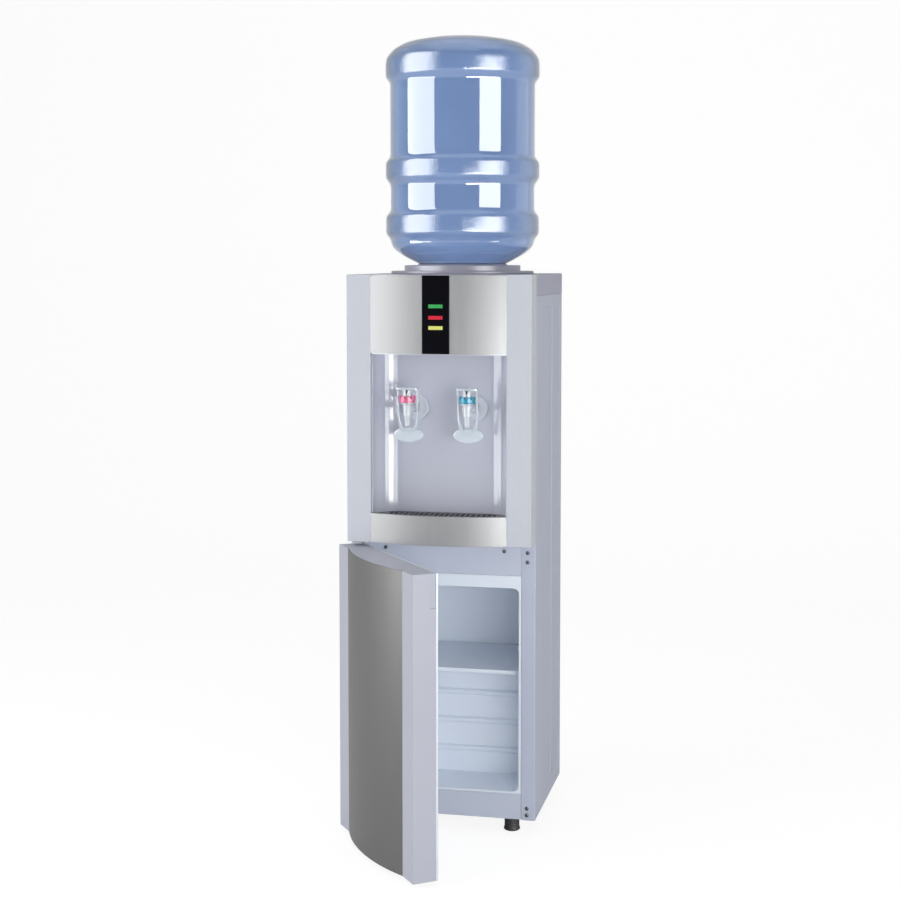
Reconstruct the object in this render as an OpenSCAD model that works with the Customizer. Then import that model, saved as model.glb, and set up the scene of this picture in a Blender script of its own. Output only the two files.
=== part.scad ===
// Floor-standing water cooler with an upturned bottle, two taps and a storage cabinet below them.
// The origin is on the floor under the middle of the cabinet, +X to the right, +Y to the back, +Z up.
// The door is drawn open, as it stands at rest.

/* [Cabinet] */
// Width across the side panels
body_w = 318; // [314:1:326]
// Depth from the front strips to the rear edge of the side panels
body_d = 334; // [328:1:346]
// Height of the cabinet without the bottle
body_h = 966; // [958:1:980]
// Height of the feet
foot_h = 27; // [24:1:30]
// Depth of the plastic covers in front of the steel body
cover_d = 50.5; // [49:0.5:53]
// Height of the lid's skirt down the sides
skirt_h = 36; // [30:1:42]
// Width of the front flange of each side panel
flange_w = 23.8; // [22:0.2:25]

/* [Dispenser front] */
// Share of the spare height, which tanks and compressor leave, that the storage takes
storage_share = 0.6585; // [0.64:0.0005:0.68]
// Height of the metal front of the drip tray
trim_h = 50; // [46:1:54]
// Height of the metal fascia above the taps
fascia_h = 131.2; // [124:0.2:136]
// Width of the bowed metal panels between the side strips
centre_w = 235.3; // [230:0.1:240]
// How far the bowed panels stand out in front of the side strips
bow_rise = 19; // [17:0.5:22]
// Width of the black indicator strip
strip_w = 46.3; // [42:0.1:52]
// Depth of the tap niche behind the side strips
niche_d = 58; // [55:1:60]
// Radius of the niche's upright corners
niche_r = 38; // [30:1:42]

/* [Taps] */
// Distance between the two taps
tap_pitch = 103; // [98:1:110]
// Distance of a tap's upright axis from the niche wall
tap_reach = 64.6; // [60:0.2:68]
// Depth of the taps' spouts below the fascia
tap_drop = 95.6; // [92:0.2:104]
// Width of a tap lever
lever_w = 37; // [36:0.5:42]
// Length of a tap lever from its bar to the middle of its paddle
lever_len = 79.5; // [76:0.5:84]

/* [Storage] */
// Width inside the liner
liner_w = 260; // [254:1:262]
// Height of the frame's band above the storage opening
band_h = 80; // [74:1:86]
// Height of the storage floor
opening_base = 76; // [72:1:80]
// Distance from the storage's back wall to the back panel
store_gap = 35.5; // [32:0.5:48]
// Distance from the hump's face to the compressor
hump_gap = 45; // [41:0.5:52]
// Height of the hump over the compressor
hump_z = 262; // [256:1:264]
// Height of the ribs that carry the shelf
rib_z = 272; // [271:0.5:274]

/* [Door] */
// Height of the door's lower edge
door_base = 9; // [8:0.5:12]
// Gap between the door and the upper cover
door_gap = 8.5; // [8:0.5:10]
// Depth of the door's shell
shell_d = 40; // [38:0.5:40]
// Angle at which the door stands open, in degrees
door_open = 53; // [20:1:90]
// Distance of the hinge pins from the door's side
hinge_in = 5.7; // [5.6:0.1:6.4]
// Distance of the hinge pins behind the door's flat strips
hinge_back = 26.9; // [25:0.1:28]

/* [Bottle] */
// Largest radius of the bottle
bottle_r = 136.4; // [134:0.2:138]
// Height of the bottle above its shoulder
bottle_h = 397; // [380:1:430]
// Radius at which the shoulder meets the seat
shoulder_r = 75; // [73:0.5:77]
// Radius of the bottle's neck
neck_r = 27.5; // [26:0.5:28]
// Wall of the bottle
bottle_wall = 2; // [1.5:0.1:2.5]

/* [Water tanks] */
// Radius of the cold tank
cold_r = 75; // [70:1:76]
// Height of the cold tank
cold_h = 120; // [105:1:124]
// Radius of the hot tank
hot_r = 50; // [45:1:52]
// Height of the hot tank
hot_h = 110; // [100:1:112]

/* [Machinery] */
// Radius of the compressor
compressor_r = 58; // [54:1:60]
// Height of the compressor above its mounts
compressor_h = 142; // [130:1:150]
// Number of runs of the condenser
condenser_runs = 10; // [6:1:10]

/* [Hidden] */

// General sizes: overrun of cuts, gap between seated pieces, fineness of circles and of corner arcs
over = 1;
hair = 0.3;
$fn = 64;
bow_fn = 160;
corner_steps = 8;
thread_r = 1.8;

// Places that follow from the driving sizes
half_w = body_w / 2;
front_y = -body_d / 2;
back_y = body_d / 2;
flange_y = front_y + cover_d;
seam_z = body_h - skirt_h;
centre_half = centre_w / 2;
bow_r = (pow(centre_half, 2) + pow(bow_rise, 2)) / (2 * bow_rise);
bow_cy = front_y - bow_rise + bow_r;
bow_front = front_y - bow_rise;
niche_y = front_y + niche_d;
fascia_top = body_h - 4 * hair;
fascia_base = fascia_top - fascia_h;

// Sheet metal and plastic walls
sheet_t = 1;
wall_t = 2.5;
skin_t = 2.2;
face_t = 3;
plate_t = 1.5;
inner_x = half_w - sheet_t - hair;

// Height that the tanks need below the seat, and that the machinery and the shelf need above the floor
basin_h = 74;
seat_t = 2.4;
tank_room = 20;
hot_up = 35;
port_len = 18;
cold_foam_t = 12;
shelf_room = 44;
tank_stack = basin_h + seat_t + hair + cold_h + cold_foam_t + tank_room + port_len + hot_h + hot_up;
machine_stack = hump_z + band_h + shelf_room;
lower_z = machine_stack + storage_share * (body_h - tank_stack - machine_stack);
trim_top = lower_z + trim_h;
tap_z = fascia_base - tap_drop;
opening_top = lower_z - band_h;

// Embossed fields of the side panels: start and end from the front strips, as shares of the depth
emboss_d = 1.5;
emboss_bevel = 3;
field_shares = [[0.2635, 0.6647], [0.7006, 0.9222]];
fields = field_shares * body_d;
field_up = 34;
field_down = 25;
field_base = foot_h + field_up;
field_top = seam_z - field_down;
rear_flange_w = 12;

// Back panel, the bay below it and what it carries
panel_in = 20;
panel_y = back_y - panel_in;
line_r = 2.4;
line_in = 4.6;
line_y = panel_y - line_in;
bay_z = 243;
panel_flange = 12;
drain_x = -72;
rear_up = 16;
drain_z = lower_z + rear_up;
drain_r = 8;
spout_in = 20;
switch_xs = [92, 122];
switch_z = lower_z + rear_up;
switch_half = [9, 13];
switch_face = 2;
switch_d = 16;
pocket_d = 10;
rocker_half = [6, 9];
rocker_room = 1.3;
rocker_crown = [4.2, 3];
rocker_root = [4, 2];
rocker_in = 1.5;
rocker_tilt = 8;
gland_x = 112;
gland_up = 47;
gland_z = bay_z + gland_up;
gland_r = 7.6;
gland_flange = 3.5;
gland_out = 8;

// Feet: radius, taper, stud and their places
foot_r = 13;
foot_flare = 1.2;
foot_round = 2;
stud_r = 4;
stud_h = 16;
foot_in = 45.2;
foot_back = 80;
foot_x = half_w - foot_in;
foot_front = front_y + foot_back;
foot_rear = back_y - foot_back;
pan_t = 1.2;
pan_lip = 18;

// Front frame of the storage cabinet and its liner
frame_t = 4;
frame_lip_in = 21;
band_lap = 22;
kick_gap = 4;
frame_lip_x = half_w - frame_lip_in;
band_base = opening_top + band_lap;
kick_top = opening_base - kick_gap;
liner_t = 1.8;
liner_half = liner_w / 2;
liner_r = 10;
liner_rim = 4.2;
rib_pitch = 51;
rib_half = 5;
rib_rise = 5;
upper_rib_shares = [0.28, 0.623];
hump_foam = 22;
foam_back = 9;
compressor_in = 81;
compressor_y = back_y - compressor_in;
hump_y = compressor_y - compressor_r - hump_gap;
store_y = panel_y - store_gap;

// Shelf
shelf_t = 4;
shelf_side = 0.8;
shelf_set_back = 24.5;
shelf_end = 4;
shelf_bead = 4;
shelf_z = rib_z + rib_half + hair;

// Door
door_top = lower_z - door_gap;
door_back = front_y + shell_d;
door_plate_t = 3.5;
door_plate_y = door_back + hair;
door_face_y = door_plate_y + door_plate_t;
hinge_x = -half_w + hinge_in;
hinge_y = front_y + hinge_back;
pin_r = 2.95;
pin_fit = 0.05;
pin_len = 14;
boss_r = 5.2;
boss_h = 18;
bracket_t = 3;
bracket_w = 19;
bracket_down = 33;
bracket_up = 49;
washer_h = 1.2;
washer_r = 5;
gasket_w = 10;
gasket_in = 7.5;
gasket_out = liner_half + gasket_in;
gasket_neck = 3;
grip_w = 10;
grip_h = 52;
grip_in = 2;
grip_drop = 4;
grip_z = door_top - grip_drop;
raise_t = 2.6;
raise_in = 12;

// Screws: head and shank
screw_head_r = 3.4;
screw_head_h = 2.2;
screw_r = 1.6;
screw_end_y = flange_y + frame_t - hair;
frame_screw_in = [54.5, 16.5];
hinge_screw_in = 14;
hinge_screw_drops = [25.5, 9.5];
hinge_screw_rises = [39, 27];
rear_screw_in = [10, 18];
frame_screws = [for (s = [-1, 1]) [s * (half_w - frame_screw_in[0]), lower_z - frame_screw_in[1]]];
hinge_screws = concat([for (d = hinge_screw_drops) [half_w - hinge_screw_in, door_top - d]],
    [for (d = hinge_screw_rises) [half_w - hinge_screw_in, door_base + d]]);
rear_screws = [for (s = [-1, 1], z = [bay_z + rear_screw_in[1], (bay_z + seam_z) / 2, seam_z - rear_screw_in[1]])
    [s * (half_w - rear_screw_in[0]), z]];

// Bottle seat: its axis, midway in what the cold tank leaves, and its tiers, lip, funnel and basin
axis_share = 0.7672;
coil_r = 3;
coil_ring_steps = 20;
coil_path_r = (cold_r + coil_r + hair) / cos(180 / coil_ring_steps);
cold_foam_r = coil_path_r + coil_r + hair + cold_foam_t;
axis_front = niche_y + skin_t + cold_foam_r;
axis_back = line_y - line_r - cold_foam_r;
axis_y = axis_front + axis_share * (axis_back - axis_front);
tier_r = 127;
tier_h = 5;
ring_r = 103.5;
ring_h = 15;
seat_hole_r = 99;
lip_r = shoulder_r + 3;
lip_in_r = shoulder_r - 5;
shoulder_up = 17;
shoulder_z = body_h + shoulder_up;
seat_gap = 0.35;
funnel_r = 60;
basin_r = 40;
funnel_h = 22;
basin_hole_r = 9.2;
basin_z = body_h - basin_h;

// Bottle: neck, flare and outline, as shares of its radius and height
neck_h = 78;
flare_h = 33;
neck_top = 8;
flare_shares = [[0.05, 1.00], [0.16, 0.62], [0.46, 0.30]];
bottle_shares = [[0.66, 0.0174], [0.76, 0.0358], [0.844, 0.055], [0.899, 0.072], [0.924, 0.087],
    [0.939, 0.11], [0.997, 0.137], [0.997, 0.213], [0.936, 0.238], [0.936, 0.353], [1, 0.384],
    [1, 0.454], [0.941, 0.477], [0.941, 0.806], [1, 0.831], [1, 0.889], [0.994, 0.907],
    [0.976, 0.921], [0.946, 0.934], [0.91, 0.948], [0.858, 0.96], [0.807, 0.971], [0.712, 0.983],
    [0.528, 0.995], [0, 1]];
cap_wall = 2;
cap_h = 22;
cap_base = 3;

// Water guard
guard_r = 8;
guard_bore = 5.5;
guard_base_r = 34;
guard_base_h = 3;
guard_h = 53;

// Tap
tap_x = tap_pitch / 2;
tap_y = niche_y - tap_reach;
rosette_r = 23;
rosette_h = 3.6;
spout_r = 6.3;
barrel_r = 7.4;
barrel_up = 13;
barrel_down = 9.5;
nozzle_r = 5.4;
nozzle_tip_r = 4.4;
nozzle_down = 27;
nozzle_bore = 3.2;
collar_r = 11;
collar_h = 3.2;
bonnet_r = 7.9;
prong_in = 5.2;
prong_gap = 5;
ring_out = 13.6;
tap_ring_h = 11;
notch_d = 4;
notch_w = 4;
ring_z = tap_z + barrel_up + hair;
prong_up = 9.6;
prong_z = ring_z + tap_ring_h + prong_up;
stem_r = 2.2;
stem_fit = 0.1;
stub_r = 8;
stub_back = 23;
nut_r = 13;
nut_h = 7;

// Tap lever: bar, arms and paddle, with the arms' outlines as shares of half width and length
bar_z = prong_z + hair;
bar_h = 4.5;
bar_half_d = 8;
bar_hole = 4;
head_r = 5;
head_h = 1.4;
head_pocket_r = 6.6;
head_pocket_h = 1.8;
arm_t = 4;
lever_lean = 6;
lever_half = lever_w / 2;
paddle_half = [25.5, 13];
paddle_t = 3;
paddle_steps = 36;
arm_outer_shares = [[0.97, 0], [0.97, 0.58], [0.93, 0.72], [0.83, 0.85], [0.7, 0.95]];
arm_inner_shares = [[0.83, 0], [0.83, 0.55], [0.77, 0.68], [0.64, 0.78], [0.42, 0.845], [0.18, 0.87]];

// Drip tray and grille
tray_fit = 0.6;
tray_back_of_trim = 8.6;
trim_lip_d = 8;
trim_lip_h = 2;
trim_seat = 3.2;
tray_wall = 1.8;
tray_rim = 0.8;
tray_base = lower_z + wall_t + hair;
tray_drop = 3.6;
tray_top = trim_top - tray_drop;
grille_t = 2.6;
slot_w = 4;
slot_pitch = 9;
slot_in = [8, 12];
slot_y = [front_y + slot_in[0], niche_y - slot_in[1]];
slot_reach = 95;
front_steps = 16;

// Niche wall
niche_half = centre_half - skin_t - hair;
niche_base = lower_z + wall_t + hair;
niche_top = fascia_base - wall_t;

// Indicator lamps
lamp_half = 12.2;
lamp_h = 6;
lamp_proud = 0.9;
strip_proud = 0.6;
lamp_drops = [51.4, 70.4, 87.5];
lamp_zs = [for (d = lamp_drops) fascia_top - d];
lamp_d = 8.2;
lamp_back = bow_front + lamp_d;
board_t = 1.6;
board_half = 18;
power_x = [52, 132];
power_up = [80, 170];
power_in = 8;
power_relay = [[10, 14, 12], [36, 34]];
power_filter = [[46, 9, 50], [70, 66]];

// Tanks
tank_t = 1;
cold_base = basin_z - seat_t - hair - cold_h;
cold_neck_r = 8.6;
cold_port_r = 6;
cold_ports = [[35, -20], [35, 30]];
hot_x = -30;
hot_back = 28;
hot_y = axis_y + hot_back;
hot_base = lower_z + hot_up;
foam_down = 11;
foam_top = lower_z - foam_down;
hot_port_r = 5;
hot_foam_t = 15;
hot_foam_half = hot_r + hot_foam_t;
plinth_w = 35;
plinth_gap = 6;
heater_w = 34;
heater_t = 3;
cutout_r = 8;
cutout_h = 6;

// Evaporator coil
coil_turns = 6;
coil_up = 22;
coil_end = 10;
coil_base = cold_base + coil_up;
coil_rise = cold_h - coil_up - coil_end;
coil_tail = 38;
coil_exit = 62;
coil_a0 = 60;

// Compressor and what it stands on
compressor_x = -20;
mount_h = 12;
mount_r = 9;
mount_places = [[-60, -40], [60, -40], [-60, 40], [60, 40]];
mount_neck = 4.7;
mount_hole = 5;
comp_plate = [70, 50];
comp_plate_t = 2.5;
comp_base = foot_h + pan_t + mount_h;
compressor_shares = [[0, 0], [0.78, 0], [0.96, 0.08], [1, 0.14], [1, 0.75], [0.93, 0.87], [0.68, 0.96], [0, 1]];
relay = [26, 40, 44];

// Condenser: tube, wires and spacing
condenser_in = 9;
condenser_y = back_y - condenser_in;
condenser_half = 126;
condenser_up = 56;
condenser_down = 58;
condenser_base = lower_z + condenser_up;
condenser_pitch = (seam_z - condenser_down - condenser_base) / (condenser_runs - 1);
condenser_tube_r = 2.5;
bend_steps = 6;
wire_r = 0.8;
wire_pitch = 14;
wire_gap = 0.1;
wire_over = 6;
standoff = [6, 4];
standoff_share = 0.7;

// Copper lines, filter drier and water hoses: radii and routes
line_sides = 8;
line_bend = 6;
line_lead = 14;
discharge_out = 20;
drier_r = 6.5;
drier_h = 90;
drier_drop = 166;
drier_out = 8;
drier_z = condenser_base - drier_drop;
drier_x = -condenser_half - drier_out;
under_in = 16;
under_panel_z = bay_z - under_in;
hose_r = 6;
hose_bore = 4;
hose_sides = 12;
hose_bend = 14;
hose_drop = 14;
bend_share = 0.48;
feed_out = 40;

// Unit vector, and a corner of a route rounded by a curve that starts one bend length, or a share
// of the way to the next corner, before it
function unit(v) = v / norm(v);
function eased(a, b, c, r, n) =
    let (s = b + min(r, bend_share * norm(a - b)) * unit(a - b), e = b + min(r, bend_share * norm(c - b)) * unit(c - b))
    [for (i = [0 : n]) let (t = i / n) pow(1 - t, 2) * s + 2 * t * (1 - t) * b + pow(t, 2) * e];
function route(p, r, n = 5) = concat([p[0]],
    [for (i = [1 : len(p) - 2]) each eased(p[i - 1], p[i], p[i + 1], r, n)], [p[len(p) - 1]]);

// Directions along a route, and a side vector that is carried along it without twisting
function heading(p, i) =
    unit(p[min(i + 1, len(p) - 1)] - p[max(i - 1, 0)]);
function square_to(v, t) = unit(v - (v * t) * t);
function start_side(t) = square_to(abs(t[2]) < 0.9 ? [0, 0, 1] : [1, 0, 0], t);
function sides_along(p) =
    [for (i = 0, s = start_side(heading(p, 0)); i < len(p);
        i = i + 1, s = i < len(p) ? square_to(s, heading(p, i)) : s) s];

// Points of a rectangle with round corners, and of a half-round bump on a wall
function corner(c, r, a) =
    [for (i = [0 : corner_steps]) c + r * [cos(a + 90 * i / corner_steps), sin(a + 90 * i / corner_steps)]];
function round_rect(lo, hi, r) = concat(
    corner([hi[0] - r, hi[1] - r], r, 0), corner([lo[0] + r, hi[1] - r], r, 90),
    corner([lo[0] + r, lo[1] + r], r, 180), corner([hi[0] - r, lo[1] + r], r, 270));
function bump(wall, z, root) = concat([[wall + root, z - rib_half]],
    [for (i = [0 : corner_steps]) [wall - rib_rise * sin(180 * i / corner_steps),
        z - rib_half * cos(180 * i / corner_steps)]], [[wall + root, z + rib_half]]);

// Plan of the niche and of what stands in it: straight sides, round corners, a front at y or on the bow
function niche_plan(inset, y) = let (h = niche_half - inset, r = niche_r - inset, b = niche_y - inset)
    concat([[h, y]], corner([h - r, b - r], r, 0), corner([r - h, b - r], r, 90), [[-h, y]]);
function bow_y(x, out) = bow_cy - sqrt(pow(bow_r - out, 2) - pow(x, 2));
function tray_plan(inset) = let (h = niche_half - tray_fit - inset, out = tray_back_of_trim + inset)
    concat(niche_plan(tray_fit + inset, bow_y(h, out)),
        [for (i = [1 : front_steps - 1]) let (x = -h + 2 * h * i / front_steps) [x, bow_y(x, out)]]);

module block(lo, hi) { translate(lo) cube(hi - lo); }

module prism_z(points, z0, z1) { translate([0, 0, z0]) linear_extrude(z1 - z0) polygon(points); }

module prism_y(points, y0, y1) {
    translate([0, y1, 0]) rotate([90, 0, 0]) linear_extrude(y1 - y0) polygon(points);
}

module prism_x(points, x0, x1) {
    translate([x0, 0, 0]) rotate([90, 0, 90]) linear_extrude(x1 - x0) polygon(points);
}

module rod(r, z0, z1) { translate([0, 0, z0]) cylinder(r = r, h = z1 - z0); }

module rod_y(r, y0, y1) { translate([0, y1, 0]) rotate([90, 0, 0]) cylinder(r = r, h = y1 - y0); }

module on_side(s) { mirror([s < 0 ? 1 : 0, 0, 0]) children(); }

// Solid whose front follows the bow, set back from it by out, between two heights and up to depth y1
module bowed(out, half, z0, z1, y1) {
    intersection() {
        translate([0, bow_cy, z0]) cylinder(r = bow_r - out, h = z1 - z0, $fn = bow_fn);
        block([-half, bow_front - over, z0], [half, y1, z1]);
    }
}

// Plate of even thickness that follows the bow between two widths
module bowed_plate(x0, x1, z0, z1, out, thick) {
    intersection() {
        difference() {
            translate([0, bow_cy, z0]) cylinder(r = bow_r - out, h = z1 - z0, $fn = bow_fn);
            translate([0, bow_cy, z0 - over])
                cylinder(r = bow_r - out - thick, h = z1 - z0 + 2 * over, $fn = bow_fn);
        }
        block([x0, bow_front - bow_rise, z0], [x1, front_y + bow_rise, z1]);
    }
}

// Tube along a route, with an optional bore, as one closed skin
module tube(p, r, sides, bore = 0) {
    n = len(p);
    s = sides_along(p);
    rings = bore > 0 ? [r, bore] : [r];
    points = [for (q = rings) for (i = [0 : n - 1]) let (t = heading(p, i), u = s[i], v = cross(t, u))
        for (k = [0 : sides - 1]) p[i] + q * (cos(360 * k / sides) * u + sin(360 * k / sides) * v)];
    function at(layer, i, k) = (layer * n + i) * sides + k % sides;
    outer = [for (i = [0 : n - 2]) for (k = [0 : sides - 1])
        [at(0, i, k), at(0, i + 1, k), at(0, i + 1, k + 1), at(0, i, k + 1)]];
    inner = [for (i = [0 : n - 2]) for (k = [0 : sides - 1])
        [at(1, i, k), at(1, i, k + 1), at(1, i + 1, k + 1), at(1, i + 1, k)]];
    ends = bore > 0
        ? [for (k = [0 : sides - 1]) each [[at(0, 0, k), at(0, 0, k + 1), at(1, 0, k + 1), at(1, 0, k)],
            [at(0, n - 1, k), at(1, n - 1, k), at(1, n - 1, k + 1), at(0, n - 1, k + 1)]]]
        : [[for (k = [0 : sides - 1]) at(0, 0, k)], [for (k = [sides - 1 : -1 : 0]) at(0, n - 1, k)]];
    polyhedron(points, concat(outer, bore > 0 ? inner : [], ends), convexity = 10);
}

module base_pan() {
    color("dimgray") difference() {
        union() {
            block([-inner_x, flange_y + frame_t + hair, foot_h], [inner_x, back_y - sheet_t - hair, foot_h + pan_t]);
            for (s = [-1, 1]) on_side(s)
                block([inner_x - pan_t, flange_y + frame_t + hair, foot_h],
                    [inner_x, back_y - sheet_t - hair, foot_h + pan_lip]);
        }
        for (x = [-foot_x, foot_x], y = [foot_front, foot_rear])
            translate([x, y, 0]) rod(stud_r + hair, 0, foot_h + stud_h);
    }
}

module feet() {
    profile = [[0, 0], [foot_r + foot_flare - foot_round, 0], [foot_r + foot_flare, foot_round],
        [foot_r + foot_flare, 2 * foot_round], [foot_r, 3 * foot_round], [foot_r, foot_h],
        [stud_r, foot_h], [stud_r, foot_h + stud_h], [0, foot_h + stud_h]];
    color("black") for (x = [-foot_x, foot_x], y = [foot_front, foot_rear])
        translate([x, y, 0]) rotate_extrude() polygon(profile);
}

// Tapered field of an embossed panel: its floor at floor_x, growing outwards over depth t
module field(f, floor_x, t) {
    grow = emboss_bevel * t / emboss_d;
    y0 = front_y + f[0] + emboss_bevel;
    y1 = front_y + f[1] - emboss_bevel;
    intersection() {
        prism_z([[floor_x, y0], [floor_x + t, y0 - grow], [floor_x + t, y1 + grow], [floor_x, y1]],
            field_base - grow, field_top + grow);
        prism_y([[floor_x, field_base], [floor_x + t, field_base - grow],
            [floor_x + t, field_top + grow], [floor_x, field_top]], y0 - grow, y1 + grow);
    }
}

module side_panel() {
    top = seam_z - hair;
    difference() {
        union() {
            block([half_w - sheet_t, flange_y, foot_h], [half_w, back_y, top]);
            block([half_w - flange_w, flange_y, foot_h], [half_w, flange_y + sheet_t, top]);
            block([half_w - rear_flange_w, back_y - sheet_t, foot_h], [half_w, back_y, top]);
            for (f = fields) field(f, half_w - sheet_t - emboss_d, emboss_d + sheet_t / 2);
        }
        for (f = fields) field(f, half_w - emboss_d, emboss_d + over);
        for (p = hinge_screws) translate([p[0], 0, p[1]]) rod_y(thread_r, flange_y - over, flange_y + 2 * over);
    }
}

module side_panel_left() { color("lavender") on_side(-1) side_panel(); }

module side_panel_right() { color("lavender") side_panel(); }

module back_panel() {
    edge = seam_z - hair;
    color("silver") difference() {
        union() {
            block([-inner_x, panel_y, bay_z], [inner_x, panel_y + sheet_t, edge]);
            for (s = [-1, 1]) on_side(s)
                block([inner_x - sheet_t, panel_y, bay_z], [inner_x, panel_y + panel_flange, edge]);
        }
        translate([drain_x, 0, drain_z]) rod_y(drain_r + hair, panel_y - over, panel_y + 2 * over);
        translate([gland_x, 0, gland_z]) rod_y(gland_r + hair, panel_y - over, panel_y + 2 * over);
        for (x = switch_xs)
            block([x - rocker_half[0] - face_t / 2, panel_y - over, switch_z - rocker_half[1] - face_t],
                [x + rocker_half[0] + face_t / 2, panel_y + 2 * over, switch_z + rocker_half[1] + face_t]);
        for (p = rear_screws) translate([p[0], 0, p[1]]) rod_y(thread_r, panel_y - over, panel_y + 2 * over);
    }
}

module top_cover() {
    edge = plate_t;
    outline = [[-half_w, seam_z], [half_w, seam_z], [half_w, body_h - edge], [half_w - edge, body_h],
        [edge - half_w, body_h], [-half_w, body_h - edge]];
    color("lavender") difference() {
        prism_y(outline, flange_y + hair, back_y);
        block([wall_t - half_w, flange_y + hair + wall_t, seam_z - over],
            [half_w - wall_t, back_y - wall_t, body_h - wall_t]);
        translate([0, axis_y, 0]) rod(seat_hole_r + hair, body_h - 2 * wall_t, body_h + over);
    }
}

// Height of the bottle's shoulder cone at a radius
function shoulder_at(r) = shoulder_z + bottle_shares[0][1] * bottle_h * (r - shoulder_r)
    / (bottle_shares[0][0] * bottle_r - shoulder_r);

module bottle_seat() {
    base = body_h + hair / 2;
    profile = [[tier_r, base], [tier_r, base + tier_h - plate_t], [tier_r - plate_t, base + tier_h],
        [ring_r + plate_t, base + tier_h], [ring_r, base + tier_h + plate_t],
        [ring_r, base + ring_h - plate_t], [ring_r - plate_t, base + ring_h],
        [lip_r + seat_t, base + ring_h + hair], [lip_r, shoulder_at(lip_r) - seat_gap],
        [lip_in_r, shoulder_at(lip_in_r) - 3 * hair], [funnel_r, body_h - plate_t],
        [basin_r, body_h - funnel_h - plate_t], [basin_r, basin_z], [basin_hole_r, basin_z],
        [basin_hole_r, basin_z - seat_t], [basin_r + seat_t, basin_z - seat_t],
        [basin_r + seat_t, body_h - funnel_h - seat_t], [funnel_r + seat_t, body_h - seat_t - plate_t],
        [lip_in_r + seat_t, body_h + ring_h - 2 * seat_t], [ring_r - seat_t, body_h + ring_h - 2 * seat_t],
        [ring_r - seat_t, body_h + seat_t], [seat_hole_r - seat_t, body_h + hair / 2],
        [seat_hole_r - seat_t, body_h - wall_t], [seat_hole_r, body_h - wall_t], [seat_hole_r, base]];
    color("darkgray") translate([0, axis_y, 0]) rotate_extrude($fn = 96) polygon(profile);
}

module water_guard() {
    base = basin_z + hair;
    color("white") translate([0, axis_y, 0]) difference() {
        union() {
            rod(guard_base_r, base, base + guard_base_h);
            rod(guard_r, base, base + guard_h - guard_r);
            translate([0, 0, base + guard_h - guard_r]) cylinder(r1 = guard_r, r2 = guard_bore, h = guard_r);
        }
        rod(cold_neck_r + hair, basin_z, base + guard_base_h - plate_t);
        rod(guard_bore, basin_z, base + guard_h - 2 * guard_r);
        for (a = [0, 90]) rotate([0, 0, a])
            translate([0, 0, base + guard_h - 3 * guard_r]) rod_y(face_t / 2, -2 * guard_r, 2 * guard_r);
    }
}

module lamp_windows(fit) {
    for (z = lamp_zs)
        block([-lamp_half - fit, bow_front - over - lamp_proud, z - lamp_h / 2 - fit],
            [lamp_half + fit, lamp_back + over, z + lamp_h / 2 + fit]);
}

module front_cover() {
    top = body_h - hair / 3;
    color("whitesmoke") difference() {
        union() {
            for (s = [-1, 1]) on_side(s) block([centre_half, front_y, lower_z], [half_w, flange_y, top]);
            bowed(trim_seat, centre_half, lower_z, top, flange_y);
        }
        for (s = [-1, 1]) on_side(s)
            block([centre_half + wall_t, front_y + wall_t, lower_z + wall_t],
                [half_w - wall_t, flange_y + over, top - wall_t]);
        bowed(trim_seat + skin_t, centre_half, lower_z + wall_t, trim_top, flange_y + over);
        bowed(trim_seat + skin_t, centre_half, fascia_base, top - wall_t, flange_y + over);
        block([-centre_half, bow_front - over, trim_top - trim_lip_h - 2 * hair],
            [centre_half, flange_y + over, fascia_base - wall_t + hair]);
        lamp_windows(2 * hair);
    }
}

module tap_niche() {
    color("lightsteelblue") difference() {
        prism_z(niche_plan(-skin_t, bow_y(centre_half, trim_seat + skin_t) + hair), niche_base, niche_top);
        prism_z(niche_plan(0, front_y), niche_base - over, niche_top + over);
        for (s = [-1, 1]) translate([s * tap_x, 0, tap_z]) rod_y(stub_r + hair, niche_y - over, niche_y + 2 * skin_t);
    }
}

module fascia() {
    inner = strip_w / 2 + hair;
    color("gainsboro") for (s = [-1, 1]) on_side(s)
        bowed_plate(inner, centre_half - hair / 2, fascia_base, fascia_top, 0, face_t);
}

module indicator_strip() {
    color("black") difference() {
        bowed_plate(-strip_w / 2, strip_w / 2, fascia_base, fascia_top, -strip_proud, face_t + strip_proud);
        lamp_windows(hair / 2);
    }
}

module lamp(z) {
    intersection() {
        translate([0, bow_cy, z - lamp_h / 2]) cylinder(r = bow_r + lamp_proud, h = lamp_h, $fn = bow_fn);
        block([-lamp_half, bow_front - bow_rise, z - lamp_h / 2], [lamp_half, lamp_back, z + lamp_h / 2]);
    }
}

module lamp_green() { color("limegreen") lamp(lamp_zs[0]); }

module lamp_red() { color("red") lamp(lamp_zs[1]); }

module lamp_yellow() { color("yellow") lamp(lamp_zs[2]); }

module circuit_boards() {
    post_r = plate_t;
    front_board = lamp_back + hair;
    board_z = [lamp_zs[2] - lamp_h - face_t, lamp_zs[0] + lamp_h + face_t];
    power = [[power_x[0], panel_y - power_in, lower_z + power_up[0]],
        [power_x[1], panel_y - power_in + board_t, lower_z + power_up[1]]];
    color("seagreen") {
        block([-board_half, front_board, board_z[0]], [board_half, front_board + board_t, board_z[1]]);
        for (s = [-1, 1], z = board_z)
            translate([s * (board_half - 2 * plate_t), 0, z - sign(z - lamp_zs[1]) * face_t])
                rod_y(post_r, bow_y(board_half, trim_seat + skin_t) + hair, front_board);
        block(power[0], power[1]);
        for (x = [power[0][0] + face_t, power[1][0] - face_t], z = [power[0][2] + face_t, power[1][2] - face_t])
            translate([x, 0, z]) rod_y(post_r, power[0][1], panel_y - hair);
        for (p = [power_relay, power_filter])
            block([power[0][0] + p[0][0], power[0][1] - p[0][1], power[0][2] + p[0][2]],
                [power[0][0] + p[1][0], power[0][1], power[0][2] + p[1][1]]);
    }
}

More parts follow.
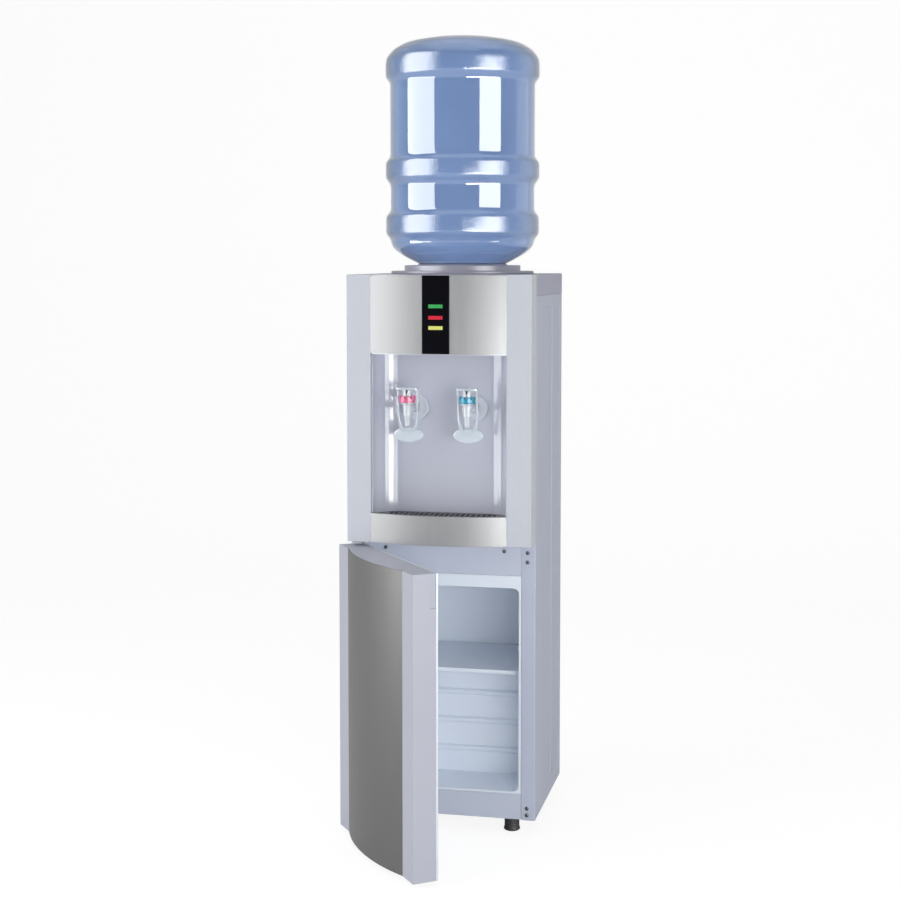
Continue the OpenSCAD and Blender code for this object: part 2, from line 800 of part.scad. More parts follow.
module tray_trim() {
    half = centre_half - hair / 2;
    color("gainsboro") union() {
        bowed_plate(-half, half, lower_z + hair, trim_top, 0, face_t);
        bowed_plate(hair - niche_half, niche_half - hair, trim_top - trim_lip_h, trim_top, 0, trim_lip_d);
    }
}

module front_frame() {
    half = half_w - flange_w - 2 * hair;
    stile = liner_half + liner_t + hair;
    color("lavender") difference() {
        union() {
            block([-half, flange_y, band_base], [half, flange_y + frame_t, lower_z - 2 * hair]);
            block([-half, flange_y, foot_h + over], [half, flange_y + frame_t, kick_top]);
            for (s = [-1, 1]) on_side(s) {
                block([stile, flange_y + liner_t, kick_top - over], [half, flange_y + frame_t, band_base + over]);
                block([half - over, flange_y + liner_t, foot_h + over],
                    [frame_lip_x, flange_y + frame_t, lower_z - 2 * hair]);
            }
        }
        for (p = frame_screws) translate([p[0], 0, p[1]])
            rod_y(thread_r, flange_y - over, flange_y + frame_t + over);
    }
}

// Inner shape of the storage space, grown by the given amount on every side
module storage(grow, front) {
    hi = [liner_half + grow, opening_top + grow];
    prism_y(round_rect([-liner_half - grow, opening_base - grow], hi, liner_r + grow), front, hump_y + grow);
    prism_y(round_rect([-liner_half - grow, hump_z - grow], hi, liner_r + grow), hump_y - over, store_y + grow);
}

module cabinet_liner() {
    rim = liner_half + liner_rim;
    shelf_top = shelf_z + shelf_t;
    levels = concat([for (k = [-3 : 0]) rib_z + k * rib_pitch],
        [for (q = upper_rib_shares) shelf_top + q * (opening_top - shelf_top)]);
    root = liner_t / 4;
    color("aliceblue") union() {
        difference() {
            union() {
                block([-rim, flange_y, kick_top + hair], [rim, flange_y + liner_t - hair, band_base - hair]);
                storage(liner_t, flange_y + over);
            }
            storage(0, flange_y - over);
        }
        for (s = [-1, 1], z = levels) on_side(s)
            prism_y(bump(liner_half, z, root), flange_y + 2 * liner_r, z < hump_z ? hump_y + root : store_y + root);
        for (z = levels) if (z < hump_z)
            prism_x(bump(hump_y, z, root), 2 * rib_rise - liner_half, liner_half - 2 * rib_rise);
    }
}

module cabinet_foam() {
    wide = inner_x - emboss_d - over;
    color("khaki") difference() {
        block([-wide, flange_y + frame_t + hair, foot_h + pan_lip + over], [wide, panel_y - foam_back, foam_top]);
        storage(liner_t + hair, flange_y);
        block([-half_w, hump_y + hump_foam, 0], [half_w, back_y, hump_z - hump_foam]);
    }
}

module hinge_bracket(z, up) {
    s = up ? 1 : -1;
    leg = [z, z + s * bracket_t];
    upright = up ? [z - bracket_down, z + bracket_t] : [z - bracket_t, z + bracket_up];
    lo = [-half_w + over, hinge_y - washer_r - over, min(leg)];
    difference() {
        union() {
            block(lo, [bracket_w - half_w + over, flange_y, max(leg)]);
            block([-half_w + over, flange_y - bracket_t, min(upright)],
                [bracket_w - half_w + over, flange_y, max(upright)]);
            translate([hinge_x, hinge_y, 0]) {
                rod(washer_r, min(z, z - s * washer_h), max(z, z - s * washer_h));
                rod(pin_r, min(z, z - s * (pin_len + washer_h)), max(z, z - s * (pin_len + washer_h)));
            }
        }
        for (p = hinge_screws) translate([-p[0], 0, p[1]])
            rod_y(thread_r, flange_y - bracket_t - over, flange_y + over);
    }
}

module hinge_brackets() {
    color("gray") {
        hinge_bracket(door_top + washer_h + hair, true);
        hinge_bracket(door_base - washer_h - hair, false);
    }
}

function condenser_row(k) = condenser_base + k * condenser_pitch;
function condenser_turn(k, s) = let (r = condenser_pitch / 2, x = condenser_half - r)
    [for (i = [0 : bend_steps]) let (a = -90 + 180 * i / bend_steps)
        [s * (x + r * cos(a)), condenser_y, condenser_row(k) + r + r * sin(a)]];
function condenser_route() = concat(
    [[-condenser_half, condenser_y, condenser_row(0)]],
    [for (k = [0 : condenser_runs - 2]) each condenser_turn(k, k % 2 == 0 ? 1 : -1)],
    [[(condenser_runs % 2 == 0 ? -1 : 1) * condenser_half, condenser_y, condenser_row(condenser_runs - 1)]]);

module condenser() {
    top = condenser_row(condenser_runs - 1);
    wire_y = condenser_y + condenser_tube_r + wire_gap + wire_r;
    count = floor((condenser_half - condenser_pitch) / wire_pitch);
    color("black") {
        union() {
            tube(condenser_route(), condenser_tube_r, line_sides);
            for (x = [-condenser_half, condenser_half] * standoff_share, k = [1, condenser_runs - 2])
                block([x - standoff[0], panel_y + sheet_t + wire_gap, condenser_row(k) - standoff[1]],
                    [x + standoff[0], condenser_y - over, condenser_row(k) + standoff[1]]);
        }
        for (k = [-count : count]) translate([k * wire_pitch, wire_y, 0])
            rod(wire_r, condenser_base - wire_over, top + wire_over, $fn = 16);
    }
}

module compressor() {
    color("black") translate([compressor_x, compressor_y, comp_base]) difference() {
        union() {
            rotate_extrude() polygon([for (q = compressor_shares) [q[0] * compressor_r, comp_plate_t / 2 + q[1] * compressor_h]]);
            block([-comp_plate[0], -comp_plate[1], 0], [comp_plate[0], comp_plate[1], comp_plate_t]);
            block([compressor_r - relay[0] / 2, -relay[1] / 2, relay[2]],
                [compressor_r + relay[0] / 2, relay[1] / 2, 2 * relay[2]]);
        }
        for (p = mount_places) translate(p) rod(mount_hole, -over, comp_plate_t + over);
    }
}

module compressor_mounts() {
    base = foot_h + pan_t + hair / 2;
    color("dimgray") for (p = mount_places) translate([compressor_x + p[0], compressor_y + p[1], 0]) {
        rod(mount_r, base, comp_base - hair / 2);
        rod(mount_neck, base, comp_base + comp_plate_t + hair);
        rod(mount_r - over, comp_base + comp_plate_t + hair / 2, comp_base + comp_plate_t + face_t);
    }
}

module refrigerant_lines() {
    shell_z = comp_base + compressor_h / 2;
    low = compressor_x - compressor_r - hair;
    hot_line_x = -condenser_half - discharge_out;
    end_z = condenser_row(condenser_runs - 1);
    dome_z = comp_base + compressor_h + comp_plate_t;
    discharge = [[low, compressor_y, shell_z], [low - line_lead, compressor_y, shell_z],
        [low - line_lead, condenser_y, shell_z], [hot_line_x, condenser_y, shell_z + line_lead],
        [hot_line_x, condenser_y, end_z], [-condenser_half - hair, condenser_y, end_z]];
    liquid = [[-condenser_half - hair, condenser_y, condenser_base], [drier_x, condenser_y, condenser_base],
        [drier_x, condenser_y, drier_z + drier_h + hair]];
    capillary = [[drier_x, condenser_y, drier_z - hair], [drier_x, condenser_y, under_panel_z],
        [coil_out[0], line_y, under_panel_z], [coil_out[0], line_y, coil_out[2]],
        [coil_out[0], coil_out[1] + coil_r + hair, coil_out[2]]];
    suction = [coil_low - [0, 0, hair], coil_low - [0, 0, line_lead], [coil_low[0], line_y, coil_low[2] - 2 * line_lead],
        [coil_low[0], line_y, under_panel_z], [compressor_x, compressor_y, under_panel_z],
        [compressor_x, compressor_y, dome_z]];
    color("peru") {
        for (p = [discharge, liquid, capillary, suction]) tube(route(p, line_bend), line_r, line_sides);
        translate([drier_x, condenser_y, drier_z]) union() {
            rod(drier_r, drier_r, drier_h - drier_r);
            cylinder(r1 = line_r, r2 = drier_r, h = drier_r);
            translate([0, 0, drier_h - drier_r]) cylinder(r1 = drier_r, r2 = line_r, h = drier_r);
        }
    }
}

module cold_tank() {
    top = cold_base + cold_h;
    color("silver") translate([0, axis_y, 0]) difference() {
        union() {
            rod(cold_r, cold_base, top);
            rod(cold_neck_r, top, basin_z + 2 * hair);
            for (p = cold_ports) translate(p) rod(cold_port_r, cold_base - port_len, cold_base + over);
        }
        rod(cold_r - tank_t, cold_base + tank_t, top - tank_t);
        rod(guard_bore, top - over - tank_t, basin_z + over);
        for (p = cold_ports) translate(p) rod(hose_bore, cold_base - port_len - over, cold_base + 2 * over);
    }
}

// Places on the evaporator coil: its lower tail, its upper end, and the tangent on which that leaves
function coil_at(z) = [coil_path_r * cos(coil_a0), axis_y + coil_path_r * sin(coil_a0), z];
coil_low = coil_at(coil_base - coil_tail);
coil_top = coil_at(coil_base + coil_rise);
coil_out = coil_top + coil_exit * [-sin(coil_a0), cos(coil_a0), 0];
function coil_route() = let (n = coil_turns * coil_ring_steps)
    concat([coil_low, coil_at(coil_base - 2 * coil_r)],
        [for (i = [1 : n]) let (a = coil_a0 + 360 * i / coil_ring_steps)
            [coil_path_r * cos(a), axis_y + coil_path_r * sin(a), coil_base + coil_rise * i / n]], [coil_out]);

module evaporator_coil() { color("peru") tube(coil_route(), coil_r, 6); }

module cold_tank_foam() {
    bore = coil_path_r + coil_r + hair;
    color("khaki") difference() {
        translate([0, axis_y, 0]) rod(bore + cold_foam_t, cold_base - cold_foam_t, cold_base + cold_h);
        translate([0, axis_y, 0]) rod(bore, cold_base - hair, cold_base + cold_h + over);
        for (p = cold_ports) translate([0, axis_y, 0]) translate(p)
            rod(cold_port_r + hair, cold_base - cold_foam_t - over, cold_base);
        translate(coil_low) rod(coil_r + hair / 2, -over, coil_tail);
        translate(coil_top) rotate([0, 0, coil_a0]) rod_y(coil_r + hair / 2, 0, 2 * coil_exit);
    }
}

module hot_tank() {
    top = hot_base + hot_h;
    color("silver") translate([hot_x, hot_y, 0]) difference() {
        union() {
            rod(hot_r, hot_base, top);
            rod(hot_port_r, hot_base - port_len, top + port_len);
            translate([0, 0, hot_base + 2 * port_len]) rotate([0, 90, 0])
                cylinder(r = hot_port_r, h = hot_r + port_len);
        }
        rod(hot_r - tank_t, hot_base + tank_t, top - tank_t);
        rod(hot_port_r - tank_t, hot_base - port_len - over, top + port_len + over);
        translate([0, 0, hot_base + 2 * port_len]) rotate([0, 90, 0])
            cylinder(r = hot_port_r - tank_t, h = hot_r + port_len + over);
    }
}

module heater_band() {
    z0 = hot_base + hot_h / 2;
    color("goldenrod") translate([hot_x, hot_y, 0]) {
        difference() {
            rod(hot_r + hair + heater_t, z0, z0 + heater_w);
            rod(hot_r + hair, z0 - over, z0 + heater_w + over);
        }
        for (x = [-2, 2] * cutout_r) translate([x, 0, 0])
            rod(cutout_r, hot_base + hot_h + hair, hot_base + hot_h + hair + cutout_h);
    }
}

module hot_tank_foam() {
    gap = hot_r + heater_t + 2 * hair;
    color("khaki") translate([hot_x, hot_y, 0]) difference() {
        union() {
            block([-hot_foam_half, -hot_foam_half, hot_base - plinth_gap],
                [hot_foam_half, hot_foam_half, hot_base + hot_h + port_len - over]);
            block([-hot_foam_half, -hot_foam_half, foam_top + hair],
                [hot_foam_half, plinth_w - hot_foam_half, hot_base]);
            block([hot_foam_half - plinth_w, -hot_foam_half, foam_top + hair],
                [hot_foam_half, hot_foam_half, hot_base]);
        }
        rod(gap, hot_base - hair, hot_base + hot_h + cutout_h + 2 * hair);
        rod(hot_port_r + hair, hot_base - 2 * port_len, hot_base + hot_h + 2 * port_len);
        translate([0, 0, hot_base + 2 * port_len]) rotate([0, 90, 0])
            cylinder(r = hot_port_r + hair, h = 2 * hot_foam_half);
    }
}

module tap_body(s) {
    color("whitesmoke") translate([s * tap_x, tap_y, tap_z]) difference() {
        union() {
            rod_y(rosette_r, tap_reach - hair - rosette_h, tap_reach - hair);
            rod_y(spout_r, 0, tap_reach - hair);
            rod_y(stub_r, tap_reach - rosette_h, tap_reach + stub_back);
            rod(barrel_r, -barrel_down, barrel_up);
            translate([0, 0, -nozzle_down]) cylinder(r1 = nozzle_tip_r, r2 = nozzle_r, h = nozzle_down - barrel_down + over);
            rod(collar_r, barrel_up - collar_h, barrel_up);
            rod(bonnet_r, barrel_up - collar_h, prong_z - tap_z);
        }
        rod_y(nozzle_bore, 0, tap_reach + stub_back + over);
        rod(nozzle_bore, -nozzle_down - over, 0);
        rod(stem_r + stem_fit, 0, prong_z - tap_z + over);
        rod(prong_in, prong_z - tap_z - 2 * face_t, prong_z - tap_z + over);
        for (a = [0, 90]) rotate([0, 0, a])
            block([-prong_gap / 2, -collar_r, prong_z - tap_z - 2 * face_t], [prong_gap / 2, collar_r, prong_z - tap_z + over]);
    }
}

module tap_body_hot() { tap_body(-1); }

module tap_body_cold() { tap_body(1); }

module tap_ring(s) {
    translate([s * tap_x, tap_y, 0]) difference() {
        rod(ring_out, ring_z, ring_z + tap_ring_h);
        rod(bonnet_r + hair, ring_z - over, ring_z + tap_ring_h + over);
        for (a = [0 : 45 : 135]) rotate([0, 0, a])
            block([-notch_w / 2, -ring_out - over, ring_z + tap_ring_h - notch_d],
                [notch_w / 2, ring_out + over, ring_z + tap_ring_h + over]);
    }
}

module tap_ring_hot() { color("palevioletred") tap_ring(-1); }

module tap_ring_cold() { color("deepskyblue") tap_ring(1); }

module tap_nuts() {
    color("white") for (s = [-1, 1]) translate([s * tap_x, niche_y + skin_t, tap_z]) difference() {
        translate([0, nut_h + hair, 0]) rotate([90, 0, 0]) cylinder(r = nut_r, h = nut_h, $fn = 6);
        rod_y(stub_r + hair, -over, nut_h + 2 * over);
    }
}

// Arms of a lever: one polygon down its outer edge, along the bottom and back up inside the opening
function arm_side(shares, s) = [for (q = shares) [s * q[0] * lever_half, -q[1] * lever_len]];
function reversed(p) = [for (i = [len(p) - 1 : -1 : 0]) p[i]];

module tap_lever(s) {
    pivot_z = bar_z + bar_h / 2;
    arms = concat(arm_side(arm_outer_shares, 1), reversed(arm_side(arm_outer_shares, -1)),
        arm_side(arm_inner_shares, -1), reversed(arm_side(arm_inner_shares, 1)));
    paddle = [for (i = [0 : paddle_steps - 1]) let (a = 360 * i / paddle_steps)
        [paddle_half[0] * cos(a), paddle_half[1] * sin(a) - lever_len]];
    color("aliceblue") translate([s * tap_x, tap_y, pivot_z]) difference() {
        union() {
            block([-lever_half, -bar_half_d, -bar_h / 2], [lever_half, bar_half_d, bar_h / 2]);
            rotate([lever_lean, 0, 0]) {
                prism_y(arms, -arm_t / 2, arm_t / 2);
                prism_y(paddle, -paddle_t / 2, paddle_t / 2);
            }
        }
        rod(bar_hole, -bar_h, bar_h);
        rod(head_pocket_r, bar_h / 2 - head_pocket_h, bar_h);
    }
}

module tap_lever_hot() { tap_lever(-1); }

module tap_lever_cold() { tap_lever(1); }

module tap_stem(s) {
    seat = bar_z + bar_h - head_pocket_h + hair;
    color("dimgray") translate([s * tap_x, tap_y, 0]) {
        rod(stem_r, tap_z + face_t, seat + over / 2);
        rod(head_r, seat, seat + head_h);
    }
}

module tap_stem_hot() { tap_stem(-1); }

module tap_stem_cold() { tap_stem(1); }

module drip_tray() {
    color("dimgray") difference() {
        prism_z(tray_plan(0), tray_base, tray_top);
        prism_z(tray_plan(tray_wall), tray_base + tray_wall, tray_top + over);
        prism_z(tray_plan(tray_rim), tray_top - grille_t - hair, tray_top + over);
    }
}

module drip_grille() {
    count = floor(slot_reach / slot_pitch);
    color("darkslategray") difference() {
        prism_z(tray_plan(tray_rim + hair), tray_top - grille_t, tray_top);
        for (k = [-count : count])
            block([k * slot_pitch - slot_w / 2, slot_y[0], tray_base], [k * slot_pitch + slot_w / 2, slot_y[1], tray_top + over]);
    }
}

// Outline of the bottle, from the neck's mouth up to the crown, moved in by the wall
function bottle_points(wall) = let (squeeze = (bottle_h - 2 * wall) / bottle_h, base = shoulder_z + wall)
    concat([[neck_r - wall, shoulder_z - neck_h], [neck_r - wall, shoulder_z - flare_h - neck_top]],
        [for (q = flare_shares) [neck_r - wall + q[0] * (shoulder_r - neck_r), shoulder_z - q[1] * flare_h]],
        [[shoulder_r - wall, base]],
        [for (q = bottle_shares) [max(q[0] * bottle_r - wall, 0), base + q[1] * bottle_h * squeeze]]);

module bottle() {
    color("lightskyblue") translate([0, axis_y, 0]) rotate_extrude($fn = 96)
        polygon(concat(bottle_points(0), reversed(bottle_points(bottle_wall))));
}

module bottle_cap() {
    rim = neck_r + hair + cap_wall;
    mouth = shoulder_z - neck_h;
    color("royalblue") translate([0, axis_y, 0]) difference() {
        rod(rim, mouth - cap_base, mouth + cap_h);
        rod(neck_r + hair, mouth - hair, mouth + cap_h + over);
        rod(guard_r + over, mouth - 2 * cap_base, mouth);
    }
}

module tap_hoses() {
    end_y = tap_y + tap_reach + stub_back + hair;
    under = cold_base - port_len;
    hot_top = hot_base + hot_h + port_len + hair;
    turn_y = end_y + hose_bend + 2 * over;
    port = [cold_ports[0][0], axis_y + cold_ports[0][1]];
    cold = [[tap_x, end_y, tap_z], [tap_x, turn_y, tap_z], [tap_x, turn_y, under - hose_drop],
        [port[0], port[1], under - hose_drop], [port[0], port[1], under - hair]];
    hot = [[-tap_x, end_y, tap_z], [-tap_x, turn_y, tap_z], [-tap_x, turn_y, hot_top + hose_drop],
        [hot_x, hot_y, hot_top + hose_drop], [hot_x, hot_y, hot_top]];
    color("ivory") {
        tube(route(cold, hose_bend), hose_r, hose_sides, hose_bore);
        tube(route(hot, hose_bend), hose_r, hose_sides, hose_bore);
    }
}

module tank_hoses() {
    under = cold_base - port_len - hair;
    side_x = hot_x + hot_r + port_len + hair;
    low = hot_base - port_len - hair;
    port = [cold_ports[1][0], axis_y + cold_ports[1][1]];
    feed = [[port[0], port[1], under], [port[0], port[1], under - hose_drop],
        [side_x + feed_out, port[1], under - hose_drop], [side_x + feed_out, hot_y, hot_base + 2 * port_len],
        [side_x, hot_y, hot_base + 2 * port_len]];
    drain = [[hot_x, hot_y, low], [hot_x, hot_y, low - hose_bend], [drain_x, hot_y + hose_bend, drain_z],
        [drain_x, panel_y - spout_in - hair, drain_z]];
    color("ivory") {
        tube(route(feed, hose_bend), hose_r, hose_sides, hose_bore);
        tube(route(drain, hose_bend / 2), hose_r, hose_sides, hose_bore);
    }
}

module switch_housings() {
    face = panel_y + sheet_t;
    pocket = rocker_half + [hair, rocker_room];
    color("black") for (x = switch_xs) translate([x, 0, switch_z]) difference() {
        union() {
            block([-switch_half[0], face + hair / 3, -switch_half[1]],
                [switch_half[0], face + switch_face, switch_half[1]]);
            block([-pocket[0] - plate_t / 2, panel_y - switch_d, -pocket[1] - plate_t / 2],
                [pocket[0] + plate_t / 2, face + over, pocket[1] + plate_t / 2]);
        }
        block([-pocket[0], panel_y - pocket_d, -pocket[1]], [pocket[0], face + face_t, pocket[1]]);
    }
}

// Rocker of a switch, pressed at its upper end: two slopes that meet over the pivot
module rocker(x) {
    crown = [[-rocker_root[0], -rocker_root[1]], [0, -rocker_half[1]], [rocker_crown[0], -rocker_half[1]],
        [rocker_crown[1], 0], [rocker_crown[0], rocker_half[1]], [0, rocker_half[1]],
        [-rocker_root[0], rocker_root[1]]];
    translate([x, panel_y + sheet_t - rocker_in, switch_z]) rotate([rocker_tilt, 0, 0])
        prism_x(crown, -rocker_half[0], rocker_half[0]);
}

module rocker_heat() { color("red") rocker(switch_xs[0]); }

module rocker_cool() { color("green") rocker(switch_xs[1]); }

module cord_gland() {
    face = panel_y + sheet_t;
    color("black") translate([gland_x, 0, gland_z]) difference() {
        union() {
            rod_y(gland_r, panel_y - gland_out, face + gland_out);
            rod_y(gland_r + gland_flange, face + hair / 3, face + face_t);
            rod_y(gland_r + gland_flange, panel_y - face_t, panel_y - hair / 3);
        }
        rod_y(gland_r / 2, panel_y - gland_out - over, face + gland_out + over);
    }
}

// Pan-head screw whose head stands towards -Y from the given face
module screw(face, end) {
    rod_y(screw_head_r, face - screw_head_h, face - hair / 3);
    rod_y(screw_r, face - screw_head_h / 2, end);
}

module screws() {
    rear = panel_y + sheet_t;
    color("dimgray") {
        for (p = frame_screws) translate([p[0], 0, p[1]]) screw(flange_y, screw_end_y);
        for (p = hinge_screws) {
            translate([p[0], 0, p[1]]) screw(flange_y, screw_end_y);
            translate([-p[0], 0, p[1]]) screw(flange_y - bracket_t, screw_end_y);
        }
        for (p = rear_screws) translate([p[0], 2 * rear, p[1]]) mirror([0, 1, 0]) screw(rear, rear + 2 * face_t);
    }
}

module drain_spout() {
    face = panel_y + sheet_t;
    color("white") translate([drain_x, 0, drain_z]) difference() {
        union() {
            rod_y(drain_r, panel_y - spout_in, back_y - 3.8);
            rod_y(drain_r + 4, face + hair / 3, face + 2.2);
        }
        rod_y(hose_bore, panel_y - spout_in - over, back_y);
    }
}

module drain_cap() {
    start = panel_y + sheet_t + 2.5;
    end = back_y - 0.5;
    color("white") translate([drain_x, 0, drain_z]) difference() {
        translate([0, end, 0]) rotate([90, 0, 0]) cylinder(r = drain_r + 4, h = end - start, $fn = 8);
        rod_y(drain_r + pin_fit, start - over, end - 3);
    }
}

// Turns the door's pieces open about the hinge
module swung() {
    translate([hinge_x, hinge_y, 0]) rotate([0, 0, -door_open]) translate([-hinge_x, -hinge_y, 0]) children();
}

module door_shell() {
    gap = plate_t + hair;
    rim = half_w - wall_t;
    color("whitesmoke") swung() difference() {
        union() {
            difference() {
                union() {
                    for (s = [-1, 1]) on_side(s)
                        block([centre_half, front_y, door_base], [half_w, door_back, door_top]);
                    bowed(gap, centre_half, door_base, door_top, door_back);
                }
                for (s = [-1, 1]) on_side(s)
                    block([centre_half, front_y + wall_t, door_base + wall_t], [rim, door_back + over, door_top - wall_t]);
                bowed(gap + wall_t, centre_half, door_base + wall_t, door_top - wall_t, door_back + over);
            }
            for (z = [door_base, door_top - boss_h]) translate([hinge_x, hinge_y, 0]) rod(boss_r, z, z + boss_h);
            block([half_w - 2 * wall_t, door_back - grip_w - wall_t, grip_z - grip_h - wall_t],
                [half_w, door_back, grip_z + over]);
        }
        for (z = [door_base - over, door_top - pin_len - over])
            translate([hinge_x, hinge_y, 0]) rod(pin_r + pin_fit, z, z + pin_len + 2 * over);
        block([half_w - grip_in, door_back - grip_w, grip_z - grip_h], [half_w + over, door_back + over, grip_z]);
    }
}

module door_panel() {
    color("darkgray") swung()
        bowed_plate(hair / 2 - centre_half, centre_half - hair / 2, door_base, door_top, 0, plate_t);
}

module door_plate() {
    z0 = door_base + hair;
    z1 = door_top - hair;
    color("aliceblue") swung() union() {
        block([hair - half_w, door_plate_y, z0], [half_w - hair, door_face_y, z1]);
        block([raise_in - liner_half, door_face_y - over, opening_base + raise_in],
            [liner_half - raise_in, door_face_y + raise_t, opening_top - raise_in]);
    }
}

module door_foam() {
    gap = wall_t + over;
    color("khaki") swung() difference() {
        block([gap - half_w, front_y + gap + 2 * over, door_base + gap], [half_w - gap - wall_t, door_back - hair, door_top - gap]);
        translate([hinge_x, hinge_y, 0]) rod(boss_r + hair, door_base, door_top);
    }
}

module door_gasket() {
    reach = flange_y - hair - door_face_y - hair;
    rings = [[0, 0, 0.35], [gasket_neck, 0.3, 0.65], [0, 0.6, 1]];
    color("whitesmoke") swung() difference() {
        union() for (q = rings)
            block([q[0] - gasket_out, door_face_y + hair / 3 + q[1] * reach, opening_base - 16 + q[0]],
                [gasket_out - q[0], door_face_y + hair / 3 + q[2] * reach, opening_top + 32 - q[0]]);
        union() for (q = rings)
            block([gasket_w - q[0] - gasket_out, door_face_y + (q[1] > 0 ? q[1] * reach : -over), opening_base - 16 + gasket_w - q[0]],
                [gasket_out - gasket_w + q[0], door_face_y + q[2] * reach + (q[2] < 1 ? 0 : over), opening_top + 32 - gasket_w + q[0]]);
    }
}

module shelf() {
    reach = liner_half - shelf_side;
    color("azure") union() {
        block([-reach, flange_y + shelf_set_back, shelf_z], [reach, store_y - shelf_end, shelf_z + shelf_t]);
        block([2 * rib_rise - liner_half, flange_y + shelf_set_back, shelf_z - face_t],
            [liner_half - 2 * rib_rise, flange_y + shelf_set_back + shelf_bead, shelf_z + shelf_t]);
    }
}

base_pan();
feet();
side_panel_left();
side_panel_right();
back_panel();
top_cover();
bottle_seat();
water_guard();
front_cover();
tap_niche();
fascia();
indicator_strip();
lamp_green();
lamp_red();
lamp_yellow();
circuit_boards();
tray_trim();
front_frame();
cabinet_liner();
cabinet_foam();
hinge_brackets();
condenser();
compressor();
compressor_mounts();
refrigerant_lines();
cold_tank();
evaporator_coil();
cold_tank_foam();
hot_tank();
hot_tank_foam();
heater_band();
tap_body_hot();
tap_body_cold();
tap_ring_hot();
tap_ring_cold();
tap_nuts();
tap_hoses();
tank_hoses();
switch_housings();
cord_gland();
screws();
drain_spout();
door_shell();
door_panel();
door_plate();
door_foam();
door_gasket();
tap_lever_hot();
tap_lever_cold();
tap_stem_hot();
tap_stem_cold();
drip_tray();
drip_grille();
shelf();
bottle();
bottle_cap();
rocker_heat();
rocker_cool();
drain_cap();
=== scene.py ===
"""Looks of a floor-standing water cooler: upturned bottle, two lever taps and a storage cabinet below.

Every size is in metres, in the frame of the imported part: X to the right, Y to the back, Z up.
"""

import logging
import math
from dataclasses import dataclass
from enum import Enum
from typing import Any, Callable, Iterable, Optional, Sequence

import bmesh
import bpy
import numpy as np
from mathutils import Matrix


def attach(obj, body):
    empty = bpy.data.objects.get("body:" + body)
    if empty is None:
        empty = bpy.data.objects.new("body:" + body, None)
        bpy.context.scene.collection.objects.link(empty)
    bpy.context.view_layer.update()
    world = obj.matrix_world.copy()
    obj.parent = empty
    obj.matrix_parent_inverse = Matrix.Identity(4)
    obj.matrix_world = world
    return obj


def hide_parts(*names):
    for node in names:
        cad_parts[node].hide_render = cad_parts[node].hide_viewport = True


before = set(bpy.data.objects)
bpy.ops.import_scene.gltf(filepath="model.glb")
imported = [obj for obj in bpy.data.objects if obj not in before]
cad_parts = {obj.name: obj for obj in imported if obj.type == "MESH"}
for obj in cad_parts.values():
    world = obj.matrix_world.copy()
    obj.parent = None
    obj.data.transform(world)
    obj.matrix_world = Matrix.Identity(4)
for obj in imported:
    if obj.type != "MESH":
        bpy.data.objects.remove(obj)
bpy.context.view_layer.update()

LOG = logging.getLogger("water_cooler")

Colour = tuple[float, float, float]
Point = tuple[float, float, float]
Outline = tuple[tuple[float, float], ...]
Socket = bpy.types.NodeSocket

MM = 0.001
WELD = 1e-6
SMOOTH_ANGLE = math.radians(38)
TURN = 2 * math.pi
HALF_W = 159 * MM
FLANGE_Y = -116.5 * MM
FOOT_H = 27 * MM
SEAM_Z = 929.7 * MM
AXIS_Y = 32 * MM
BACK_PANEL_Y = 148 * MM


class Body(Enum):
    """Bodies of the part on which the new pieces ride."""

    CABINET = "cabinet"
    BOTTLE = "bottle"
    LEVER_HOT = "lever_hot"
    LEVER_COLD = "lever_cold"
    STEM_HOT = "stem_hot"
    STEM_COLD = "stem_cold"
    DRAIN_CAP = "drain_cap"


# Materials


class Nodes:
    """Node tree with short calls that add and link its nodes."""

    def __init__(self, tree: bpy.types.NodeTree) -> None:
        """Takes the tree."""
        self.tree = tree

    def add(self, kind: str, inputs: Optional[dict[Any, Any]] = None, **props: Any) -> bpy.types.Node:
        """Adds a node.

        Args:
            kind: Node type without its ShaderNode prefix.
            inputs: Socket name or number to a value or to the output that feeds it.
            **props: Settings of the node.

        Returns:
            The new node.
        """
        made = self.tree.nodes.new("ShaderNode" + kind)
        for key, value in props.items():
            setattr(made, key, value)
        for key, value in (inputs or {}).items():
            self.feed(made.inputs[key], value)
        return made

    def feed(self, socket: Socket, value: Any) -> None:
        """Sets a socket, or links it where the value is an output of another node."""
        if isinstance(value, Socket):
            self.tree.links.new(value, socket)
        else:
            socket.default_value = value

    def span(self, value: Socket, low: float, high: float, start: float = 0.3, end: float = 0.7) -> Socket:
        """Maps a value from start..end to low..high."""
        made = self.add("MapRange", {"Value": value, "From Min": start, "From Max": end,
                                     "To Min": low, "To Max": high})
        return made.outputs[0]

    def combine(self, operation: str, one: Any, two: Any) -> Socket:
        """Result of an operation on two values or outputs."""
        return self.add("Math", {0: one, 1: two}, operation=operation).outputs[0]

    def tint(self, value: Socket, one: Colour, two: Colour) -> Socket:
        """Colour between two colours."""
        made = self.add("Mix", {0: value}, data_type="RGBA")
        made.inputs["A"].default_value = (*one, 1.0)
        made.inputs["B"].default_value = (*two, 1.0)
        return made.outputs["Result"]


